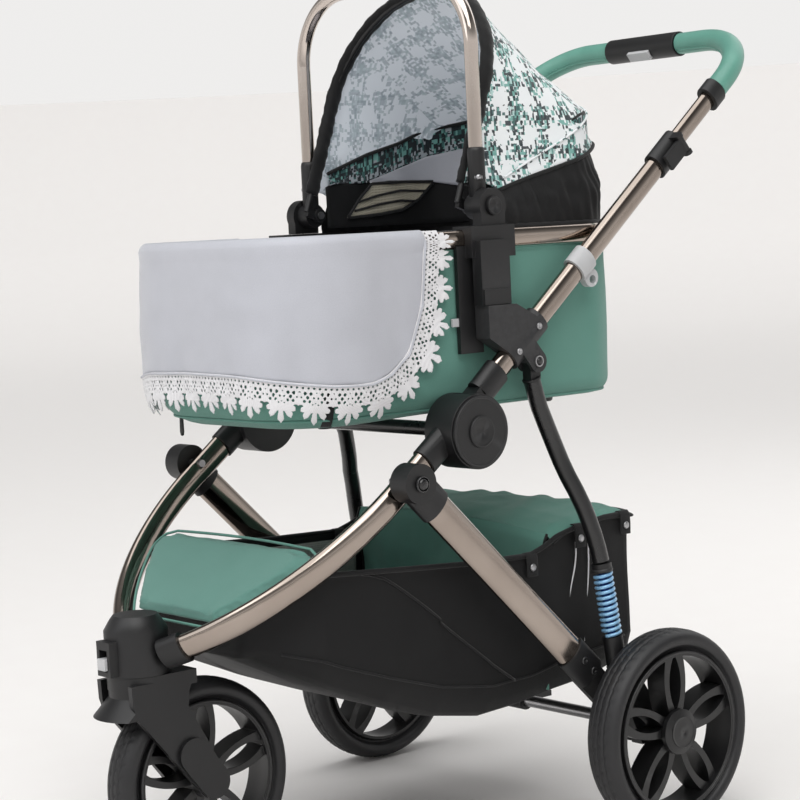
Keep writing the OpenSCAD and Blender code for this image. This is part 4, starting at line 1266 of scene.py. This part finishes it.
def basket():
    # closed rim line in plan: right side from front to back, rear, left side, front
    ys = np.linspace(-352, 204, 90)
    rear_x = np.linspace(1, -1, 42)[1:-1]

    def loop(inset):
        w = basket_plan(ys, inset)
        right = np.stack([w, ys], 1)
        left = np.stack([-w[::-1], ys[::-1]], 1)
        corner = (basket_plan(204.0, inset)) * np.sign(rear_x) * abs(rear_x) ** 0.8
        back = np.stack([corner, 204 + (16 - inset) * (1 - abs(rear_x) ** 6)], 1)
        wf = basket_plan(-352.0, inset)
        front = np.stack([-wf + 2 * wf * np.linspace(0, 1, 20)[1:-1],
                          np.full(18, -352.0) - (8 - inset * 0.2)], 1)
        return np.vstack([right, back, left, front])

    rows = []
    levels = [(0, 0.0), (2.2, 0.015)] + [(1.5 - 3.5 * math.sin(math.pi * f), f) for f in
                                         np.linspace(0.05, 0.78, 12)]
    levels += [(8, 0.88), (18, 0.955), (34, 0.99), (60, 1.0), (95, 1.005)]
    for inset, f in levels:
        q = loop(max(inset, -3))
        y_ref = np.clip(q[:, 1], -345, 222)
        top = np.interp(y_ref, RIM_Y, RIM_Z)
        low = np.interp(y_ref, LOW_Y, LOW_Z)
        z = top + (low - top) * f
        p = np.column_stack([q, z])
        folds = fbm(p * [0.6, 0.6, 0.3], 26, 4.0) * 3.0 * math.sin(math.pi * min(1, f * 1.1))
        sag = fbm(p, 85, 2.0) * 4.0 * math.sin(math.pi * min(1, f))
        c = np.array([0, -40, 0])
        away = (p - c) * [1, 0.6, 0]
        away /= np.maximum(np.linalg.norm(away, axis=1), 1)[:, None]
        rows.append(p + away * (folds + sag - 2.5 * math.sin(math.pi * f))[:, None])
    pts = np.array(rows)
    ob = grid("basket_bag", pts, "black", wrap=(False, True))
    cap_rows(ob, pts.shape[1], (len(levels) - 1,), smooth=True)
    solidify(ob, 1.6, 0.0)
    done(ob, "front_frame", "black_cloth", "basket_shell")
    rim = tube("basket_rim_binding", pts[0] + [0, 0, 1.0], 3.4, "binding", 10, closed=True)
    done(rim, "front_frame", "black_cloth")
    # seams: a diagonal one on each side and one along the bottom edge
    n_side = len(ys)
    k0, k1 = int(n_side * 0.20), int(n_side * 0.62)
    path = []
    for u in np.linspace(0, 1, 40):
        col = int(k0 + (k1 - k0) * u)
        row = u * 13.0
        r0 = int(row)
        path.append(pts[r0, col] * (1 - (row - r0)) + pts[min(r0 + 1, len(levels) - 1), col]
                    * (row - r0) + [1.2, 0, 0])
    both("basket_seams", [tube("d", np.array(path), 0, "binding", 8, flat=(2.2, 1.1)),
                          tube("e", pts[13, 4:n_side - 2] + [0.8, 0, 0], 1.5, "binding", 8)],
         "front_frame", "black_cloth")
    cover()
    details(pts)


def cover():
    """Teal cover of the rear part: its front wall hangs down into the basket."""
    us = np.linspace(-1, 1, 101)
    rows = []
    drop = np.concatenate([np.linspace(0, 0.9, 26), np.linspace(0.92, 1, 5)])
    for f in drop:                                       # front wall, bottom to top
        y = 60.5 + 4 * smoothstep(f, 0.88, 1) ** 2 + 0 * us
        top = 391 + 9 * (1 - us ** 2) - 4 * us
        z = 184 + (top - 184) * np.sqrt(np.clip(1 - (1 - f) ** 2, 0, 1)) * 0.35 \
            + (top - 184) * f * 0.65
        p = np.stack([us * (188.5 - 5 * (1 - f)), y, z], 1)
        bulge = math.sin(math.pi * f)
        p[:, 1] += (fbm(p, 70, 2.0) * 7 + fbm(p * [1, 1, 0.5], 26, 5.0) * 2.5) * bulge \
            - 1.5 * bulge
        rows.append(p)
    for y in np.linspace(66, 214, 60):
        w = basket_plan(y, -0.5)
        z = float(np.interp(y, LID_Y, LID_Z))
        edge = np.clip((1 - abs(us)) / 0.10, 0, 1)
        puff = np.sqrt(edge) * min(1, (216 - y) / 16) ** 0.5
        p = np.stack([w * us, np.full(us.shape, y), np.full(us.shape, z)], 1)
        folds = (fbm(p * [1, 0.55, 1], 34, 6.0) * 5.0
                 + (0.4 - abs(fbm(p * [0.8, 0.4, 1], 50, 3.3))) * 7)
        near = smoothstep(y, 60, 90)
        p[:, 2] += -9 + puff * (7 + (folds * 0.8) * near) + (1 - us ** 2) * 8 - 4 * us * (1 - near)
        rows.append(p)
    p = np.array(rows)
    ob = grid("basket_cover", p, "teal")
    solidify(ob, 1.4, 0.0)
    done(ob, "front_frame", "green_cloth", "basket_lid")
    k = len(drop)
    edges = [tube("e0", np.vstack([p[k:, -1], p[-1, ::-1][1:], p[::-1, 0][1:len(p) - k]]),
                  2.0, "binding", 8),
             tube("e1", p[1:k, 0] + [0, -1, 0], 1.8, "binding", 8),
             tube("e2", p[1:k, -1] + [0, -1, 0], 1.8, "binding", 8)]
    hem = join("basket_cover_binding", edges)
    done(hem, "front_frame", "black_cloth")


def details(bag):
    """Net windows inside, tabs with press studs over the rim and the rear pockets' piping."""
    nets = grid("basket_nets", bag[2:9, 8:66] - [3.2, 0, 0], "net_dark")
    done(mirrored(solid_apply(nets, 0.7)), "front_frame", "black_cloth")
    tabs, studs = [], []
    for y in (25, 112, 196):
        z = float(np.interp(y, RIM_Y, RIM_Z))
        x = float(basket_plan(y))
        shape = np.array([[x - 7, y, z - 20], [x - 7, y, z - 2], [x - 4, y, z + 4.2],
                          [x + 1, y, z + 4.6], [x + 4.6, y, z], [x + 5.2, y, z - 12],
                          [x + 4.6, y, z - 26]])
        t, d = np.linspace(0, 1, 26), np.linspace(0, 1, len(shape))
        path = follow(t, d, shape)
        tabs.append(strap_mesh(f"t{y}", path, (0, 1, 0), 9, 1.4, "binding"))
        studs.append(lathe(f"s{y}", [(0.01, 2.2), (3, 2.0), (4.6, 1.2), (5.2, 0), (3.4, -0.6),
                                     (0.01, -0.6)], (x + 6.2, y, z - 14), (1, 0, 0), "steel", 20))
    both("basket_tabs", tabs, "front_frame", "black_cloth")
    both("basket_studs", studs, "front_frame", "steel")
    lines = []
    for y0, y1, top, low in ((106, 95, 372, 292), (128, 120, 374, 240)):
        f = np.linspace(0, 1, 30)
        y = y0 + (y1 - y0) * f + 3 * np.sin(f * 5)
        x = basket_plan(y) + 2.4 - 3.2 * np.sin(math.pi * f * 0.5)
        lines.append(tube(f"p{y0}", np.stack([x, y, top + (low - top) * f], 1), 1.0, "lace", 8))
    both("basket_pocket_piping", lines, "front_frame", "black_cloth")


def strap_mesh(name, path, across, half_w, thick, mat):
    """Flat webbing: its width runs along a fixed direction."""
    p = np.asarray(path, float)
    a = np.array(across, float)
    n = unit_rows(np.cross(unit_rows(np.gradient(p, axis=0)), a))
    sec = [(-1, -0.4), (-0.94, -0.5), (0, -0.5), (0.94, -0.5), (1, -0.4), (1, 0.4), (0.94, 0.5),
           (0, 0.5), (-0.94, 0.5), (-1, 0.4)]
    pts = np.array([[q + a * (u * half_w) + m * (v * thick) for u, v in sec]
                    for q, m in zip(p, n)])
    ob = grid(name, pts, mat, wrap=(False, True))
    return fill_ends(ob)


basket()

# ---------------------------------------------------------------- wheels


def tyre(name, centre, r, body, node, segs=288):
    """Foam tyre with a rounded shoulder, three grooves and slanted tread cuts."""
    lo, hi = box_mm(node)
    half = (hi[0] - lo[0]) / 2
    a = np.concatenate([np.linspace(148, 40, 22), np.linspace(36, -36, 37),
                        np.linspace(-40, -148, 22)])
    rad = r - 13 + 13 * np.cos(np.radians(a))
    ax = half * np.sin(np.radians(a))
    # squarer shoulder than the plain oval
    ax = np.sign(ax) * half * (abs(ax) / half) ** 0.86
    groove = sum(1.3 * np.exp(-((ax - g) / 1.1) ** 2) for g in (-9, 0, 9))
    rim_line = 1.6 * np.exp(-(rad - (r - 21.5)) ** 2)
    rad = rad - groove
    ax = ax - np.sign(ax) * rim_line * (abs(ax) > half * 0.6)
    prof = np.concatenate([[[r - 26, -16]], np.stack([rad, -ax], 1), [[r - 26, 16]]])
    ang = around(segs)
    pts = []
    for rr, xx in prof:
        cut = 0.0
        if rr > r - 8 and abs(xx) < 19:
            phase = ang * 48 + xx * 0.22
            cut = 1.1 * smoothstep(np.cos(phase), 0.72, 0.95) * (1 - smoothstep(abs(xx), 14, 19))
        q = rr - cut
        pts.append(np.stack([np.full(segs, centre[0] + xx), centre[1] + q * np.cos(ang),
                             centre[2] + q * np.sin(ang)], 1))
    ob = grid(name, np.array(pts), "tyre", wrap=(True, True))
    tidy_mesh(ob)
    return done(ob, body, "tyre", node)


def rim_lip(name, centre, side, r):
    return lathe(name, [(r, 19.5), (r + 0.4, 21.2), (r - 1.6, 22.4), (r - 3.8, 21.6),
                        (r - 4.2, 19.5)], centre, (side, 0, 0), "rim", 120, closed=True)


def wheel_trim():
    for side, hand in ((1, "left"), (-1, "right")):
        node, body = f"rear_tyre_{hand}", f"rear_wheel_{hand}"
        c = mid(node)
        tyre(f"tyre_{body}", c, REAR[2], body, node)
        ring = lathe(f"hub_ring_{body}",
                     [(20.2, 3.6), (20.6, 4.6), (19.6, 5.0), (18.6, 4.5), (17, 4.3), (9, 5.6),
                      (0.01, 6.1), (0.01, 2), (20.2, 2)], c + [side * 22, 0, 0], (side, 0, 0),
                     "rim", 48)
        done(ring, body, "rim")
        done(rim_lip(f"rim_lip_{body}", c, side, 103.2), body, "rim")
    c = mid("front_tyre")
    tyre("tyre_front", c, FRONT[2], "front_wheel", "front_tyre")
    lips = [rim_lip(f"l{s}", c, s, 98.2) for s in (-1, 1)]
    done(join("rim_lip_front", lips), "front_wheel", "rim")


wheel_trim()

# ---------------------------------------------------------------- springs


STRUT_LOW, STRUT_FOOT = np.array([243, 104, 350.0]), np.array([251, 120, 200.0])


def springs():
    """Two coil springs of twelve turns between the strut's collar and the axle housing."""
    d = (STRUT_FOOT - STRUT_LOW) / np.linalg.norm(STRUT_FOOT - STRUT_LOW)
    top, length, turns, r = STRUT_LOW + d * 10.5, 84.0, 12, 10.9
    u = np.cross(d, [1, 0, 0])
    u /= np.linalg.norm(u)
    v = np.cross(d, u)
    a = np.linspace(0, 2 * math.pi * turns, turns * 26)
    rise = length * a / a[-1]
    path = top + r * (np.cos(a)[:, None] * u + np.sin(a)[:, None] * v) + d * rise[:, None]
    coil = tube("coil", path, 2.35, "spring", 8)
    cups = [lathe("cup0", [(8, 0), (13.6, 0), (13.9, 3), (13.2, 5), (8, 5)], top - d * 3, d,
                  "black_plastic", 32, closed=True)]
    ob = mirrored(join("suspension_coils", [coil]))
    done(ob, "rear_axle", "spring", "coil_springs")
    anchor = (top + d * length) * MM
    anchor[0] = 0
    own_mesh(ob)
    both("suspension_cups", cups, "rear_legs", "black_plastic")


springs()

# ---------------------------------------------------------------- small fittings

OUT = (1, 0, 0)
DOME = [(0.01, 3.0), (3.2, 2.7), (5.4, 1.9), (6.6, 0.7), (6.8, 0), (8.8, 0), (9.4, -0.5),
        (9.4, -1.4), (0.01, -1.4)]
HUB_FACE = [(19.4, -0.6), (19, 0.7), (17.6, 1.0), (16.4, 0.4), (15, 0.1), (0.01, 0.9),
            (0.01, -1)]
HUB_EDGE = [(43.4, -2.4), (43.2, -0.9), (41.6, -0.4), (39.6, -0.9), (39.0, -2.4)]
BUTTON = [(11.2, -0.4), (11.0, 0.8), (10.0, 1.2), (8.8, 0.8), (8.2, 0.1), (0.01, 0.6),
          (0.01, -0.8)]
BOLT = [(0.01, 1.2), (1.8, 1.2), (2.2, 2.6), (4.2, 2.6), (5, 1.8), (5, -0.8), (0.01, -0.8)]
SCREW = [(0.01, 0.4), (1.6, 0.4), (2, 1.6), (3.6, 1.6), (4.2, 1), (4.2, -1), (0.01, -1)]
BOOT = [(9.3, -2), (10.9, 0), (10.95, 40), (10.95, 62), (10.4, 65.5), (9.15, 67.5), (9.1, 60)]
ARCH_X = 169
STRUT_EYE = (30, 612.0)


def turned(name, body, slot, *parts):
    """Turned fittings on both sides; a part is what lathe takes after its name."""
    both(name, [lathe(f"{name}_{k}", *part) for k, part in enumerate(parts)], body, slot)


def face_x(node):
    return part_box(node)[1][0] / MM


def fittings():
    turned("leg_rivets", "front_frame", "black_metal",
           (DOME, (face_x("leg_pins"), LEG[1], LEG[2]), OUT, "black_metal", 40))
    x = face_x("hub_discs")
    turned("fold_hub_rings", "front_frame", "black_plastic",
           (HUB_FACE, (x, FOLD[1], FOLD[2]), OUT, "black_plastic", 56),
           (HUB_EDGE, (x - 0.8, FOLD[1], FOLD[2]), OUT, "black_plastic", 72, True))
    turned("strut_rivets", "upper_frame", "black_metal",
           ([(r * 0.62, h * 0.7) for r, h in DOME], (face_x("strut_pins"), *STRUT_EYE), OUT,
            "black_metal", 32))
    x = face_x("arch_button_left")
    for side, name in ((1, "left"), (-1, "right")):
        ob = lathe(f"arch_button_face_{name}", BUTTON, (side * x, PIVOT[1], PIVOT[2]),
                   (side, 0, 0), "black_plastic", 48)
        done(ob, f"arch_button_{name}", "black_plastic")
    leg_dir = np.array([REAR[1] - LEG[1], REAR[2] - LEG[2]])
    leg_dir /= np.linalg.norm(leg_dir)
    turned("leg_bolts", "rear_legs", "black_metal",
           *((BOLT, (250.0, LEG[1] + leg_dir[0] * along, LEG[2] + leg_dir[1] * along), OUT,
              "black_metal", 24) for along in (362, 384)))
    turned("socket_screws", "upper_frame", "steel",
           *((SCREW, on_upper(TUBE_X + 14, 0, z), OUT, "steel", 20) for z in (150, 196)))
    turned("arch_boots", "carry_arch", "black_plastic",
           (BOOT, (ARCH_X, PIVOT[1], PIVOT[2] + 6), (0, 0, 1), "black_plastic", 48))
    turned("arch_rivets", "carry_arch", "steel",
           ([(r * 0.55, h * 0.8) for r, h in DOME],
            (ARCH_X + 8.8, PIVOT[1] - 5, PIVOT[2] + 36), (0.86, -0.5, 0), "steel", 28))


fittings()


def grip_seams():
    """Hand-sewn seam along the inside of the soft grips."""
    handle_len, bend, r = 680.0, 100.0, 15.1
    path = []
    for z in np.linspace(664, handle_len, 5):
        path.append((TUBE_X, z, (-1, 0)))
    for a in np.linspace(0, math.pi / 2, 26)[1:]:
        path.append((TUBE_X - bend + bend * math.cos(a), handle_len + bend * math.sin(a),
                     (-math.cos(a), -math.sin(a))))
    for x in np.linspace(TUBE_X - bend, 69, 8)[1:]:
        path.append((x, handle_len + bend, (0, -1)))
    line, left, right = [], [], []
    for x, z, (nx, nz) in path:
        line.append(on_upper(x + nx * r, 0, z + nz * r))
        left.append(on_upper(x + nx * r * 0.97, 3.6, z + nz * r * 0.97))
        right.append(on_upper(x + nx * r * 0.97, -3.6, z + nz * r * 0.97))
    ob = tube("grip_seam", np.array(line), 0.9, "grip", 8)
    done(mirrored(ob), "handle", "grip")
    for name, p in (("a", left), ("b", right)):
        ob = stitches(f"grip_stitches_{name}", np.array(p), 5.0, 3.0, 0.55, "grip")
        done(mirrored(ob), "handle", "grip")


grip_seams()

# ---------------------------------------------------------------- strap, zip pull and feet


def under_details():
    """Strap under the bassinet's front, a zip pull, and the feet."""
    s = 196.0
    z = np.linspace(FLOOR_Z + 40, FLOOR_Z - 5, 24)
    path = np.array([ring_points(np.array([s]), wall_inset(s, max(v, FLOOR_Z - 6)) + 1.5, v)[0]
                     for v in z])
    tail = path[-1] + np.outer(np.linspace(0, 1, 6)[1:], [-40, 60, 2.5])
    path = np.vstack([path, tail])
    strap = strap_mesh("bassinet_strap", path, (0.82, 0.57, 0), 6.5, 1.4, "binding")
    done(strap, "bassinet", "black_cloth")
    s = -196.0
    x, y = outline(np.array([s]), -20.0)
    pull = lathe("zip_pull", [(0.01, 0), (1.6, -1), (1.2, -4), (2.6, -8), (3.0, -28), (2.2, -33),
                              (0.01, -34)], (x[0], y[0], FLOOR_Z + 6), (0, 0, 1), "black_metal",
                 16)
    done(pull, "bassinet", "black_metal")
    feet = []
    for y in (FRONT_Y + 95, 137):
        feet.append(lathe(f"f{y}", [(0.01, -9), (7.5, -9), (9.5, -7.5), (11, 0), (11, 2),
                                    (0.01, 2)], (120, y, FLOOR_Z), (0, 0, 1), "black_plastic", 32))
    both("bassinet_feet", feet, "bassinet", "black_plastic")


under_details()

# ---------------------------------------------------------------- stage and light


def stage():
    MAT["floor"] = plastic("studio_floor", srgb(238, 235, 233), srgb(240, 238, 236), 0.7, 60,
                           0.0002, 0.0)
    prof = [(0.01, 0), (2000, 0), (9000, 0), (11000, 120), (12500, 700), (13200, 1800)]
    ob = lathe("studio_floor", prof, (0, 0, 0), (0, 0, 1), "floor", 96)
    world = bpy.data.worlds.new("world")
    SCENE.world = world
    world.use_nodes = True
    nt = world.node_tree
    bg = nt.nodes["Background"]
    tc = nt.nodes.new("ShaderNodeTexCoord")
    sep = nt.nodes.new("ShaderNodeSeparateXYZ")
    ramp = nt.nodes.new("ShaderNodeValToRGB")
    nt.links.new(tc.outputs["Generated"], sep.inputs[0])
    levels = [(0.0, 0.62), (0.47, 0.80), (0.50, 0.86), (0.57, 0.86), (0.66, 0.34), (0.80, 0.10),
              (1.0, 0.30)]
    set_stops(ramp, [(at, (v, v * 0.99, v * 0.98)) for at, v in levels])
    half = nt.nodes.new("ShaderNodeMapRange")
    half.inputs[1].default_value = -1.0
    nt.links.new(sep.outputs[2], half.inputs[0])
    nt.links.new(half.outputs[0], ramp.inputs[0])
    nt.links.new(ramp.outputs[0], bg.inputs[0])
    bg.inputs[1].default_value = 1.0
    for name, at, size, power, colour in (
            ("key", (2.2, -1.4, 3.4), 2.6, 46, (1, 0.99, 0.97)),
            ("front", (-0.8, -3.6, 2.6), 2.4, 26, (0.98, 0.99, 1)),
            ("rear", (-0.4, 3.2, 3.0), 2.6, 26, (1, 1, 1))):
        light = bpy.data.lights.new(name, "AREA")
        light.energy, light.size, light.color = power, size, colour
        ob = bpy.data.objects.new(name, light)
        ob.location = at
        aim = Vector((0, 0, 0.5)) - Vector(at)
        ob.rotation_euler = aim.to_track_quat("-Z", "Y").to_euler()
        SCENE.collection.objects.link(ob)
    sun = bpy.data.lights.new("sky", "SUN")
    sun.energy, sun.angle = 2.1, math.radians(75)
    ob = bpy.data.objects.new("sky", sun)
    ob.rotation_euler = (math.radians(18), math.radians(10), 0)
    SCENE.collection.objects.link(ob)
    SCENE.view_settings.view_transform = "Standard"


stage()

bpy.context.view_layer.update()
